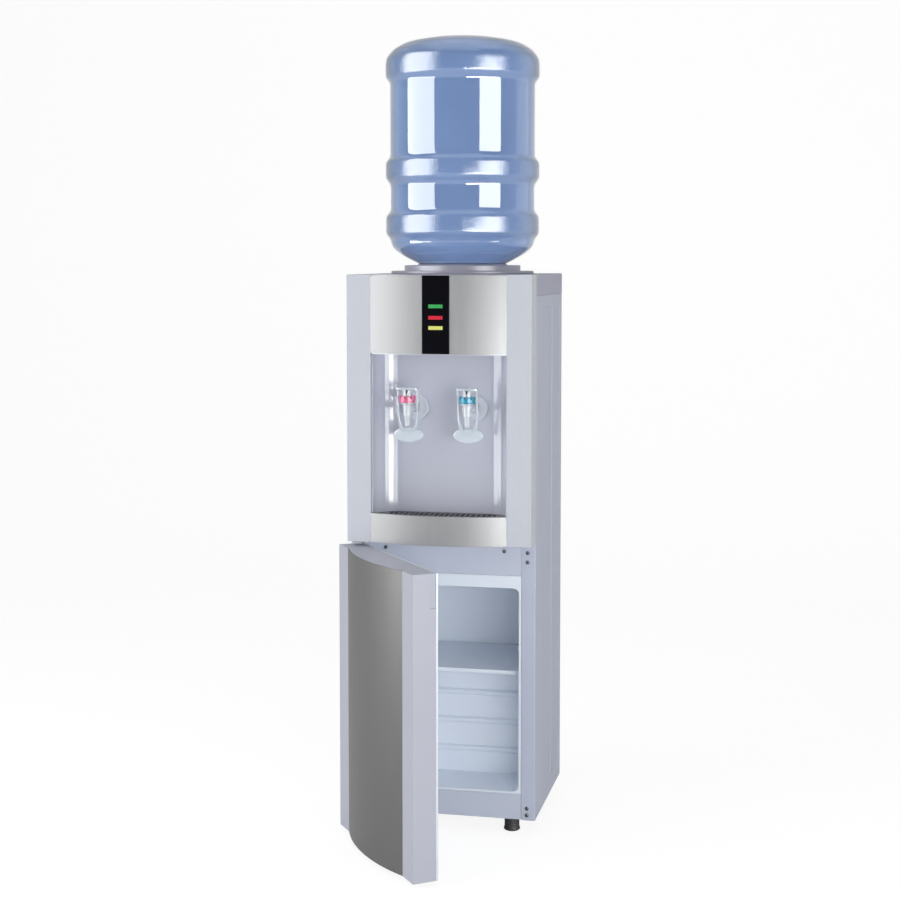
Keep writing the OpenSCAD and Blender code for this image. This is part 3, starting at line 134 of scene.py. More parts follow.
class Graph(Nodes):
    """Node graph of one material, with its Principled shader."""

    def __init__(self, name: str) -> None:
        """Starts an empty material.

        Args:
            name: Name of the material.
        """
        self.material = bpy.data.materials.new(name)
        self.material.use_nodes = True
        super().__init__(self.material.node_tree)
        self.shader = self.tree.nodes["Principled BSDF"]
        self.place = self.tree.nodes.new("ShaderNodeTexCoord").outputs["Object"]

    def noise(self, scale: float, detail: float = 2.0, stretch: Point = (1.0, 1.0, 1.0)) -> Socket:
        """Noise over the object's own coordinates.

        Args:
            scale: Waves per metre.
            detail: Octaves.
            stretch: Factors along the three axes.

        Returns:
            The noise, about 0.5.
        """
        mapped = self.add("Mapping", {"Vector": self.place, "Scale": stretch})
        made = self.add("TexNoise", {"Vector": mapped.outputs[0], "Scale": scale, "Detail": detail})
        return made.outputs["Fac"]

    def relief(self, height: Socket, depth: float, edge: float) -> None:
        """Gives the shader a bump of the given depth over edges eased by the given radius."""
        eased = self.add("Bevel", {"Radius": edge}, samples=4).outputs[0]
        bump = self.add("Bump", {"Height": height, "Distance": depth, "Strength": 1.0, "Normal": eased})
        self.feed(self.shader.inputs["Normal"], bump.outputs[0])

    def set(self, **values: Any) -> None:
        """Sets sockets of the shader, with underscores for the spaces in their names."""
        for key, value in values.items():
            self.feed(self.shader.inputs[key.replace("_", " ")], value)


def shade(colour: Colour, factor: float) -> Colour:
    """Colour times a factor."""
    return tuple(min(1.0, c * factor) for c in colour)


@dataclass(frozen=True)
class Finish:
    """Plain moulded or painted surface: slight colour drift, uneven gloss and a fine relief."""

    name: str
    colour: Colour
    roughness: float = 0.35
    drift: float = 0.03
    grain: float = 900.0
    depth: float = 0.00003
    edge: float = 0.0008
    metallic: float = 0.0
    coat: float = 0.0
    specular: float = 0.5

    def material(self) -> bpy.types.Material:
        """Material of this finish, made once.

        Returns:
            The material.
        """
        title = f"{self.name}_finish"
        made = bpy.data.materials.get(title)
        if made is None:
            graph = Graph(title)
            self.base(graph)
            made = graph.material
        return made

    def base(self, graph: Graph) -> None:
        """Colour, gloss and relief that all finishes share."""
        slow = graph.noise(7.0, 3.0)
        fine = graph.noise(self.grain, 2.0)
        graph.set(Base_Color=graph.tint(graph.span(slow, 0, 1), shade(self.colour, 1 - self.drift),
                                        shade(self.colour, 1 + self.drift)),
                  Roughness=graph.span(fine, self.roughness * 0.9, self.roughness * 1.12),
                  Metallic=self.metallic, Specular_IOR_Level=self.specular)
        if self.coat:
            graph.set(Coat_Weight=self.coat, Coat_Roughness=0.08)
        graph.relief(fine, self.depth, self.edge)


@dataclass(frozen=True)
class Brushed(Finish):
    """Brushed metal: long fine scratches that run one way."""

    metallic: float = 1.0
    stretch: Point = (220.0, 220.0, 3.0)

    def base(self, graph: Graph) -> None:
        """Scratches from a noise that is stretched along the brushing."""
        lines = graph.noise(4.0, 4.0, self.stretch)
        graph.set(Base_Color=graph.tint(graph.span(lines, 0, 1), shade(self.colour, 1 - self.drift),
                                        shade(self.colour, 1 + self.drift)),
                  Roughness=graph.span(lines, self.roughness * 0.85, self.roughness * 1.2),
                  Metallic=self.metallic, Anisotropic=0.3)
        graph.relief(lines, self.depth, self.edge)


@dataclass(frozen=True)
class Clear(Finish):
    """Clear or milky moulded plastic."""

    passing: float = 0.6
    ior: float = 1.47

    def base(self, graph: Graph) -> None:
        """Moulded plastic that lets light through."""
        super().base(graph)
        graph.set(Transmission_Weight=self.passing, IOR=self.ior)


@dataclass(frozen=True)
class BottleBlue(Finish):
    """Blue blown plastic: clear walls, and a pebbled, duller skin on the bands and the crown."""

    passing: float = 0.93
    coat: float = 1.0
    coat_ior: float = 1.6
    ior: float = 1.35
    bands: Outline = ((1.030, 1.073), (1.129, 1.169), (1.308, 1.40))
    fade: float = 4 * MM
    dulled: float = 0.16

    def base(self, graph: Graph) -> None:
        """Bands come from steps of the height: the sum over the bands of two opposite ramps' product."""
        height = graph.add("SeparateXYZ", {0: graph.place}).outputs["Z"]
        mask: Any = 0.0
        for low, high in self.bands:
            rise = graph.span(height, 0, 1, low, low + self.fade)
            fall = graph.span(height, 1, 0, high - self.fade, high)
            mask = graph.combine("ADD", mask, graph.combine("MULTIPLY", rise, fall))
        lumps = graph.combine("MULTIPLY", graph.noise(420.0, 2.0), mask)
        slow = graph.noise(9.0, 2.0)
        graph.set(Base_Color=graph.tint(graph.span(slow, 0, 1), self.colour, shade(self.colour, 1.08)),
                  Roughness=graph.span(mask, self.roughness, self.roughness + self.dulled, 0, 1),
                  Transmission_Weight=self.passing, IOR=self.ior, Coat_Weight=self.coat,
                  Coat_IOR=self.coat_ior, Coat_Roughness=0.04)
        bump = graph.add("Bump", {"Height": lumps, "Distance": self.depth, "Strength": 1.0})
        graph.set(Normal=bump.outputs[0], Coat_Normal=bump.outputs[0])


@dataclass(frozen=True)
class Foam(Finish):
    """Rigid foam: cells of different sizes."""

    grain: float = 260.0
    depth: float = 0.0006

    def base(self, graph: Graph) -> None:
        """Cells from a Voronoi pattern."""
        cells = graph.add("TexVoronoi", {"Vector": graph.place, "Scale": self.grain}).outputs["Distance"]
        graph.set(Base_Color=graph.tint(graph.span(cells, 0, 1, 0, 0.8), self.colour,
                                        shade(self.colour, 0.86)),
                  Roughness=graph.span(cells, 0.85, 0.95, 0, 1))
        graph.relief(cells, self.depth, self.edge)


@dataclass(frozen=True)
class Galvanised(Finish):
    """Zinc-coated sheet with its crystal flakes."""

    metallic: float = 0.85
    grain: float = 85.0
    depth: float = 0.00001

    def base(self, graph: Graph) -> None:
        """Flakes from Voronoi cells of even colour."""
        flakes = graph.add("TexVoronoi", {"Vector": graph.place, "Scale": self.grain}).outputs["Color"]
        tone = graph.add("SeparateColor", {0: flakes}).outputs[0]
        graph.set(Base_Color=graph.tint(tone, shade(self.colour, 0.9), shade(self.colour, 1.06)),
                  Roughness=graph.span(tone, self.roughness * 0.85, self.roughness * 1.2, 0, 1),
                  Metallic=self.metallic)
        graph.relief(tone, self.depth, self.edge)


@dataclass(frozen=True)
class Lens(Finish):
    """Coloured lamp lens with a brighter middle and darker ribs."""

    glow: float = 0.18
    grain: float = 110.0

    def base(self, graph: Graph) -> None:
        """Ribs across the lens from a wave along X."""
        wave = graph.add("TexWave", {"Vector": graph.place, "Scale": self.grain,
                                     "Distortion": 0.0}).outputs["Fac"]
        tone = graph.tint(wave, shade(self.colour, 0.8), shade(self.colour, 1.15))
        graph.set(Base_Color=tone, Emission_Color=tone, Emission_Strength=self.glow,
                  Roughness=graph.span(wave, 0.2, 0.3, 0, 1))


@dataclass(frozen=True)
class Board(Finish):
    """Circuit board with copper tracks under green lacquer."""

    grain: float = 190.0
    depth: float = 0.00008

    def base(self, graph: Graph) -> None:
        """Tracks where a cell pattern is near its edges."""
        cells = graph.add("TexVoronoi", {"Vector": graph.place, "Scale": self.grain},
                          distance="MANHATTAN").outputs["Distance"]
        graph.set(Base_Color=graph.tint(graph.span(cells, 0, 1, 0.25, 0.5), shade(self.colour, 1.9),
                                        self.colour),
                  Roughness=graph.span(cells, 0.25, 0.4, 0, 1))
        graph.relief(cells, self.depth, self.edge)


class Palette:
    """The finishes of the object, by their use."""

    STRIP = Finish("strip_plastic", (0.58, 0.61, 0.675), 0.28, 0.012, coat=0.2)
    LID = Finish("lid_plastic", (0.42, 0.43, 0.54), 0.34, 0.015, specular=0.2)
    NICHE = Finish("niche_plastic", (0.56, 0.58, 0.67), 0.12, 0.015, specular=0.4)
    PANEL = Finish("panel_paint", (0.53, 0.57, 0.69), 0.36, 0.02, 1400.0, 0.00004, specular=0.2)
    FRAME_PAINT = Finish("frame_paint", (0.58, 0.62, 0.73), 0.33, 0.02, 1400.0, 0.00004)
    SEAT = Finish("seat_plastic", (0.42, 0.42, 0.50), 0.3, 0.02)
    LINER = Finish("liner_plastic", (0.84, 0.90, 1.0), 0.3, 0.02, 500.0, 0.00006, 0.002)
    DOOR_SHELL = Finish("door_plastic", (0.53, 0.55, 0.63), 0.36, 0.012, specular=0.1)
    BLACK = Finish("black_gloss", (0.004, 0.004, 0.006), 0.16, 0.1, specular=0.12)
    GREY = Finish("tray_plastic", (0.09, 0.09, 0.10), 0.42, 0.05)
    FROST = Clear("tap_plastic", (0.86, 0.90, 0.96), 0.2, 0.02, passing=0.45)
    CLEAR = Clear("lever_plastic", (0.80, 0.87, 0.93), 0.08, 0.01, passing=0.45)
    WHITE = Finish("white_plastic", (0.80, 0.81, 0.82), 0.35)
    RING_HOT = Finish("ring_pink", (0.70, 0.13, 0.28), 0.3)
    RING_COLD = Finish("ring_blue", (0.0, 0.27, 0.43), 0.3)
    STEM = Finish("stem_grey", (0.06, 0.06, 0.07), 0.4)
    STEEL = Brushed("bright_steel", (0.62, 0.62, 0.61), 0.3, 0.03, depth=0.00001)
    FASCIA = Brushed("fascia_metal", (0.265, 0.27, 0.275), 0.38, 0.02, depth=0.000004, metallic=0.17)
    DOOR_METAL = Brushed("door_metal", (0.125, 0.125, 0.124), 0.36, 0.02, depth=0.000004, metallic=0.16)
    ZINC = Galvanised("galvanised", (0.5, 0.51, 0.52), 0.42)
    BLACK_PAINT = Finish("black_paint", (0.014, 0.014, 0.016), 0.38, 0.1, 600.0, 0.00006)
    COPPER = Finish("copper", (0.62, 0.28, 0.16), 0.28, 0.08, metallic=1.0)
    BRASS = Finish("brass", (0.6, 0.45, 0.18), 0.3, 0.05, metallic=1.0)
    SCREW = Finish("screw_steel", (0.10, 0.10, 0.11), 0.35, 0.05, metallic=0.9, edge=0.0003)
    RUBBER = Finish("black_rubber", (0.012, 0.012, 0.012), 0.62, 0.1, 1500.0, 0.00008)
    SEAL = Finish("pale_seal", (0.74, 0.76, 0.78), 0.55, 0.02, 1200.0, 0.00006)
    HOSE = Finish("hose", (0.75, 0.75, 0.70), 0.45, 0.03)
    FOAM = Foam("foam", (0.74, 0.68, 0.48), 0.9)
    BOARD = Board("circuit_board", (0.01, 0.10, 0.04), 0.3)
    GREEN = Lens("lamp_green", (0.04, 0.36, 0.09), 0.25)
    RED = Lens("lamp_red", (0.58, 0.015, 0.035), 0.25)
    YELLOW = Lens("lamp_yellow", (0.62, 0.64, 0.16), 0.25, glow=0.2)
    ROCKER_RED = Finish("rocker_red", (0.55, 0.02, 0.02), 0.25)
    ROCKER_GREEN = Finish("rocker_green", (0.02, 0.28, 0.06), 0.25)
    BOTTLE = BottleBlue("bottle_blue", (0.45, 0.565, 0.77), 0.03, depth=0.0004)
    CAP = Finish("cap_blue", (0.03, 0.10, 0.42), 0.35)


CAD_FINISH = {
    Palette.ZINC: ("base_pan", "back_panel", "hinge_brackets"),
    Palette.LID: ("top_cover",),
    Palette.WHITE: ("water_guard", "tap_nuts", "drain_spout"),
    Palette.STRIP: ("front_cover",),
    Palette.NICHE: ("tap_niche",),
    Palette.FASCIA: ("fascia", "tray_trim"),
    Palette.BLACK: ("indicator_strip", "switch_housings"),
    Palette.GREEN: ("lamp_green",),
    Palette.RED: ("lamp_red",),
    Palette.YELLOW: ("lamp_yellow",),
    Palette.BOARD: ("circuit_boards",),
    Palette.FRAME_PAINT: ("front_frame",),
    Palette.LINER: ("cabinet_liner", "door_plate", "shelf"),
    Palette.FOAM: ("cabinet_foam", "cold_tank_foam", "hot_tank_foam", "door_foam"),
    Palette.RUBBER: ("compressor_mounts", "cord_gland"),
    Palette.COPPER: ("refrigerant_lines", "evaporator_coil"),
    Palette.STEEL: ("cold_tank", "hot_tank"),
    Palette.BRASS: ("heater_band",),
    Palette.HOSE: ("tap_hoses", "tank_hoses"),
    Palette.DOOR_SHELL: ("door_shell",),
    Palette.DOOR_METAL: ("door_panel",),
    Palette.SEAL: ("door_gasket",),
    Palette.GREY: ("drip_tray", "drip_grille"),
    Palette.CAP: ("bottle_cap",),
    Palette.ROCKER_RED: ("rocker_heat",),
    Palette.ROCKER_GREEN: ("rocker_cool",),
}


# Surfaces


@dataclass
class Skin:
    """Closed surface as points and four-sided faces."""

    points: np.ndarray
    faces: np.ndarray

    def outward(self) -> "Skin":
        """Turns the faces round where the enclosed volume, the sum of a . (b x c) / 6, is negative.

        Returns:
            This skin, with its faces pointing outwards.
        """
        a, b, c, d = (self.points[self.faces[:, k]] for k in range(4))
        volume = np.einsum("ij,ij->", a, np.cross(b, c)) + np.einsum("ij,ij->", a, np.cross(c, d))
        if volume < 0:
            self.faces = self.faces[:, ::-1]
        return self

    def moved(self, offset: Sequence[float]) -> "Skin":
        """Copy of the skin, moved by an offset."""
        return Skin(self.points + np.asarray(offset), self.faces)

    def turned(self, angle: float, axis: int, about: Sequence[float]) -> "Skin":
        """Copy turned about a line along one of the three axes.

        Args:
            angle: Angle in radians, by the right-hand rule.
            axis: 0, 1 or 2 for X, Y or Z.
            about: Point on the line.

        Returns:
            The turned copy.
        """
        i, j = (axis + 1) % 3, (axis + 2) % 3
        local = self.points - np.asarray(about)
        out = local.copy()
        out[:, i] = local[:, i] * math.cos(angle) - local[:, j] * math.sin(angle)
        out[:, j] = local[:, i] * math.sin(angle) + local[:, j] * math.cos(angle)
        return Skin(out + np.asarray(about), self.faces)


def joined(skins: Iterable[Skin]) -> Skin:
    """One skin that holds several."""
    skins = list(skins)
    starts = np.cumsum([0] + [len(s.points) for s in skins[:-1]])
    return Skin(np.vstack([s.points for s in skins]),
                np.vstack([s.faces + n for s, n in zip(skins, starts)]))


def grid(points: np.ndarray, wrap_u: bool = False, wrap_v: bool = True) -> Skin:
    """Surface through a grid of points, closed on itself along u or v.

    Args:
        points: Array of shape (u, v, 3).
        wrap_u: Whether the last row joins the first.
        wrap_v: Whether the last column joins the first.

    Returns:
        The skin.
    """
    index = np.arange(points.shape[0] * points.shape[1]).reshape(points.shape[:2])
    if wrap_u:
        index = np.vstack([index, index[:1]])
    if wrap_v:
        index = np.hstack([index, index[:, :1]])
    faces = np.stack([index[:-1, :-1], index[1:, :-1], index[1:, 1:], index[:-1, 1:]], axis=-1)
    return Skin(points.reshape(-1, 3), faces.reshape(-1, 4))


def thick(outer: np.ndarray, inner: np.ndarray) -> Skin:
    """Sheet between two grids of the same shape, with its four rims closed.

    Args:
        outer: Outer face, of shape (u, v, 3).
        inner: Inner face, of the same shape.

    Returns:
        The closed skin.
    """
    index = np.arange(outer.shape[0] * outer.shape[1]).reshape(outer.shape[:2])
    front, back = grid(outer, wrap_v=False), grid(inner, wrap_v=False)
    count = len(front.points)
    edges = [index[0], index[:, -1], index[-1, ::-1], index[::-1, 0]]
    rims = [np.stack([e[:-1], e[:-1] + count, e[1:] + count, e[1:]], axis=-1) for e in edges]
    faces = np.vstack([front.faces[:, ::-1], back.faces + count, *[r[:, ::-1] for r in rims]])
    return Skin(np.vstack([front.points, back.points]), faces)


def eased(points: Sequence[Sequence[float]], reach: float, steps: int = 5,
          closed: bool = False) -> np.ndarray:
    """Outline whose corners are curves B(t) = (1-t)^2 s + 2t(1-t) c + t^2 e around each corner c.

    Args:
        points: Corners.
        reach: Distance from a corner at which its curve starts, at most 0.45 of a side.
        steps: Points per curve.
        closed: Whether the outline is closed.

    Returns:
        Array of the outline's points.
    """
    p = np.asarray(points, float)
    before, after = np.roll(p, 1, axis=0), np.roll(p, -1, axis=0)
    lead, tail = before - p, after - p
    a = np.linalg.norm(lead, axis=1, keepdims=True)
    b = np.linalg.norm(tail, axis=1, keepdims=True)
    start = p + lead * np.minimum(0.45, reach / np.maximum(a, WELD))
    end = p + tail * np.minimum(0.45, reach / np.maximum(b, WELD))
    t = np.linspace(0, 1, steps)[None, :, None]
    curves = (1 - t) ** 2 * start[:, None] + 2 * t * (1 - t) * p[:, None] + t**2 * end[:, None]
    if closed:
        return curves.reshape(-1, p.shape[1])
    return np.vstack([p[:1], curves[1:-1].reshape(-1, p.shape[1]), p[-1:]])


def inset(line: np.ndarray, wall: float) -> np.ndarray:
    """Line moved by a wall's thickness to its left, square to its direction."""
    along = np.gradient(line, axis=0)
    normal = np.stack([along[:, 1], -along[:, 0]], axis=1)
    return line - wall * normal / np.linalg.norm(normal, axis=1, keepdims=True)


def revolved(section: np.ndarray, centre: Sequence[float], steps: int = 96, closed: bool = False,
             top: Optional[Callable[[np.ndarray, np.ndarray], np.ndarray]] = None) -> Skin:
    """Section (r, z) turned about an upright axis: (cx + r cos a, cy + r sin a, cz + z).

    Args:
        section: Array of (r, z).
        centre: Point on the axis that the section's heights count from.
        steps: Steps round the axis.
        closed: Whether the section is a closed loop, clear of the axis.
        top: Optional change of the heights, from the grid of heights and of angles.

    Returns:
        The skin.
    """
    angle = np.linspace(0, TURN, steps, endpoint=False)[None, :]
    r, z = section[:, :1], section[:, 1:2] + 0 * angle
    if top is not None:
        z = top(z, angle + 0 * z)
    points = np.stack([r * np.cos(angle), r * np.sin(angle), z], axis=-1) + np.asarray(centre)
    return grid(points, wrap_u=closed).outward()


def along_y(skin: Skin, centre: Sequence[float]) -> Skin:
    """Skin made about the upright axis through centre, laid so that its top points to +Y."""
    return skin.turned(-math.pi / 2, 0, centre)


def swept(path: np.ndarray, normal: Sequence[float], half_w: np.ndarray, half_t: np.ndarray,
          power: float = 2.0, sides: int = 16) -> Skin:
    """Superellipse |a/w|^p + |b/t|^p = 1 carried along a path that lies in one plane.

    Args:
        path: Points of the path.
        normal: Normal of the plane, along which the section's b lies.
        half_w: Half width at each point, across the path in the plane.
        half_t: Half thickness at each point, along the normal.
        power: Power p; 2 is an ellipse.
        sides: Points round the section.

    Returns:
        The skin, whose ends are closed.
    """
    n = np.asarray(normal, float)
    along = np.gradient(path, axis=0)
    side = np.cross(along, n)
    side /= np.linalg.norm(side, axis=1, keepdims=True)
    angle = np.linspace(0, TURN, sides, endpoint=False)
    a = np.sign(np.cos(angle)) * np.abs(np.cos(angle)) ** (2 / power)
    b = np.sign(np.sin(angle)) * np.abs(np.sin(angle)) ** (2 / power)
    size_w = np.concatenate([[0], half_w, [0]])[:, None, None]
    size_t = np.concatenate([[0], half_t, [0]])[:, None, None]
    centre = np.vstack([path[:1], path, path[-1:]])[:, None]
    side = np.vstack([side[:1], side, side[-1:]])[:, None]
    points = centre + size_w * a[None, :, None] * side + size_t * b[None, :, None] * n
    return grid(points).outward()


def rounded_box(low: Sequence[float], high: Sequence[float], radius: float) -> Skin:
    """Box with round edges: c + (h - r) sign(n) + r n over all directions n.

    Args:
        low: Lowest corner.
        high: Highest corner.
        radius: Radius of the edges.

    Returns:
        The skin.
    """
    centre = (np.asarray(low) + np.asarray(high)) / 2
    half = (np.asarray(high) - np.asarray(low)) / 2 - radius
    steps = 4
    quarter = np.linspace(0, math.pi / 2, steps)
    turn = (np.arange(4)[:, None] * math.pi / 2 + quarter[None]).ravel()[None, :]
    sector = np.repeat(np.arange(4), steps)[None, :]
    tilt = np.concatenate([quarter - math.pi / 2, quarter])[:, None]
    up = np.repeat([-1.0, 1.0], steps)[:, None]
    sx = np.where((sector == 0) | (sector == 3), 1.0, -1.0)
    sy = np.where(sector < 2, 1.0, -1.0)
    x = half[0] * sx + radius * np.cos(tilt) * np.cos(turn)
    y = half[1] * sy + radius * np.cos(tilt) * np.sin(turn)
    z = half[2] * up + radius * np.sin(tilt) + 0 * turn
    body = np.stack([x, y, z], axis=-1)
    poles = body[[0, -1]] * (0, 0, 1)
    return grid(np.concatenate([poles[:1], body, poles[1:]]) + centre).outward()


def added(name: str, data: Any) -> bpy.types.Object:
    """New object that holds the data, in the scene."""
    made = bpy.data.objects.new(name, data)
    bpy.context.scene.collection.objects.link(made)
    return made


def place(name: str, skin: Skin, finish: Finish, body: Body, stands_for: str) -> None:
    """Makes an object of a skin, welds its poles and seams, and puts it on a body.

    Args:
        name: Name of the piece.
        skin: Its surface.
        finish: Its finish.
        body: Body that carries it.
        stands_for: CAD node that it replaces.
    """
    mesh = bpy.data.meshes.new(name)
    mesh.from_pydata(skin.points.tolist(), [], skin.faces.tolist())
    work = bmesh.new()
    work.from_mesh(mesh)
    bmesh.ops.remove_doubles(work, verts=work.verts, dist=WELD)
    bmesh.ops.dissolve_degenerate(work, edges=work.edges, dist=WELD / 10)
    work.to_mesh(mesh)
    work.free()
    mesh.shade_smooth()
    mesh.set_sharp_from_angle(angle=SMOOTH_ANGLE)
    mesh.materials.append(finish.material())
    made = added(name, mesh)
    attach(made, body.value)
    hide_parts(stands_for)
    LOG.info("%s: %d faces", name, len(mesh.polygons))


# Sub-assemblies


@dataclass
class Bottle:
    """Upturned bottle: a blown shell with three bands, a crown and a short neck."""

    radius: float = 136.4 * MM
    height: float = 397 * MM
    shoulder_z: float = 983 * MM
    shoulder_r: float = 75 * MM
    neck_r: float = 27.5 * MM
    neck_h: float = 78 * MM
    wall: float = 2 * MM
    ease: float = 5 * MM
    outline: Outline = (
        (0.66, 0.0174), (0.76, 0.0358), (0.844, 0.055), (0.899, 0.072), (0.924, 0.087), (0.939, 0.11),
        (0.997, 0.137), (0.997, 0.213), (0.936, 0.238), (0.936, 0.353), (1, 0.384), (1, 0.454),
        (0.941, 0.477), (0.941, 0.806), (1, 0.831), (1, 0.889), (0.994, 0.907), (0.976, 0.921),
        (0.946, 0.934), (0.91, 0.948), (0.858, 0.96), (0.807, 0.971), (0.712, 0.983), (0.528, 0.995),
        (0.46, 1), (0.4, 0.991), (0.2, 0.985), (0, 0.985))
    flare: Outline = ((0, -41), (2.4, -33), (7.6, -20.5), (21.9, -9.9))

    def section(self) -> np.ndarray:
        """Outline up the outside and down the inside, one wall apart along its normals."""
        corners = [(self.neck_r, -self.neck_h)]
        corners += [(self.neck_r + r * MM, z * MM) for r, z in self.flare]
        corners += [(self.shoulder_r, 0.0)]
        corners += [(r * self.radius, z * self.height) for r, z in self.outline]
        outer = eased(corners, self.ease, 6)
        inner = inset(outer, self.wall)
        inner[:, 0] = np.maximum(inner[:, 0], 0)
        inner[-1, 0] = 0
        return np.vstack([outer, inner[::-1], outer[:1]])

    def build(self) -> None:
        """Makes the bottle."""
        skin = revolved(self.section(), (0, AXIS_Y, self.shoulder_z), 144)
        place("bottle_shell", skin, Palette.BOTTLE, Body.BOTTLE, "bottle")


@dataclass
class Seat:
    """Grey seat of the bottle: two tiers, a lip, a funnel and a basin."""

    body_h: float = 966.15 * MM
    ease: float = 1.3 * MM
    outline: Outline = (
        (101, 0), (127, 0), (127, 5), (103.5, 5), (103.5, 15), (80.4, 15.3), (78, 18), (70, 13.7),
        (60, -1.5), (40, -24), (40, -74), (9.2, -74), (9.2, -76.4), (42.4, -76.4), (42.4, -24.9),
        (62.4, -4), (72.4, 10.2), (101.1, 10.2), (101.1, 2.4), (96.6, 0.2), (96.6, -2.5), (99, -2.5))

    def build(self) -> None:
        """Makes the seat."""
        section = eased(np.asarray(self.outline) * MM, self.ease, 4, closed=True)
        skin = revolved(section, (0, AXIS_Y, self.body_h), 128, closed=True)
        place("seat_ring", skin, Palette.SEAT, Body.CABINET, "bottle_seat")


@dataclass
class SidePanel:
    """Folded steel side with two embossed fields."""

    side: int = 1
    sheet: float = 1 * MM
    depth: float = 1.5 * MM
    bevel: float = 3 * MM
    back_y: float = 167 * MM
    flange: float = 23.8 * MM
    rear_flange: float = 12 * MM
    fold: float = 1.6 * MM
    fields: Outline = ((-79, 55), (67, 141))
    low: float = 61 * MM
    high: float = 905 * MM

    def ramp(self, value: np.ndarray, start: float, end: float) -> np.ndarray:
        """1 between start and end, 0 outside, with a smooth step 3s^2 - 2s^3 over the bevel."""
        rise = np.clip((value - start) / self.bevel + 1, 0, 1)
        fall = np.clip((end - value) / self.bevel + 1, 0, 1)
        mask = rise * fall
        return mask * mask * (3 - 2 * mask)

    def ticks(self, start: float, end: float, count: int, edges: Iterable[float]) -> np.ndarray:
        """Places of the grid's lines: count even ones, and nine closer ones over each edge."""
        reach = 1.2 * self.bevel
        close = [np.linspace(at - reach, at + reach, 9) for at in edges]
        return np.unique(np.concatenate([np.linspace(start, end, count), *close]))

    def build(self) -> None:
        """Makes the panel: x = w - d m(y) m(z) on the side, and the two folded flanges."""
        y = self.ticks(FLANGE_Y + self.fold, self.back_y - self.fold, 60, np.ravel(self.fields) * MM)
        z = self.ticks(FOOT_H, SEAM_Z, 50, (self.low, self.high))
        corner = np.linspace(0, math.pi / 2, 6)
        near = np.stack([HALF_W - self.fold + self.fold * np.sin(corner),
                         FLANGE_Y + self.fold - self.fold * np.cos(corner)], axis=1)
        far = np.stack([HALF_W - self.fold + self.fold * np.cos(corner),
                        self.back_y - self.fold + self.fold * np.sin(corner)], axis=1)
        plan = np.vstack([[(HALF_W - self.flange, FLANGE_Y)], near[:-1],
                          np.stack([np.full_like(y, HALF_W), y], axis=1), far[1:],
                          [(HALF_W - self.rear_flange, self.back_y)]])
        mask = sum(self.ramp(plan[:, 1], a * MM, b * MM) for a, b in self.fields)
        flat = (plan[:, 0] > HALF_W - WELD).astype(float)
        press = self.depth * (mask * flat)[:, None] * self.ramp(z, self.low, self.high)[None, :]
        shapes = [np.stack([self.side * (p[:, :1] - press), p[:, 1:] + 0 * press, z + 0 * press], axis=-1)
                  for p in (plan, inset(plan, self.sheet))]
        name = "left" if self.side < 0 else "right"
        place(f"side_{name}_sheet", thick(*shapes).outward(), Palette.PANEL, Body.CABINET,
              f"side_panel_{name}")


@dataclass(frozen=True)
class Notches:
    """Notches in the top of a turned part, with soft flanks."""

    above: float
    drop: float
    count: int
    share: float

    def lowered(self, z: np.ndarray, angle: np.ndarray) -> np.ndarray:
        """Heights, less the drop in each notch where they lie above the given height."""
        wave = np.abs(np.mod(angle * self.count / TURN + 0.5, 1) - 0.5) * 2
        depth = self.drop * np.clip((self.share - wave) * 12 + 0.5, 0, 1)
        return np.where(z > self.above, z - depth, z)


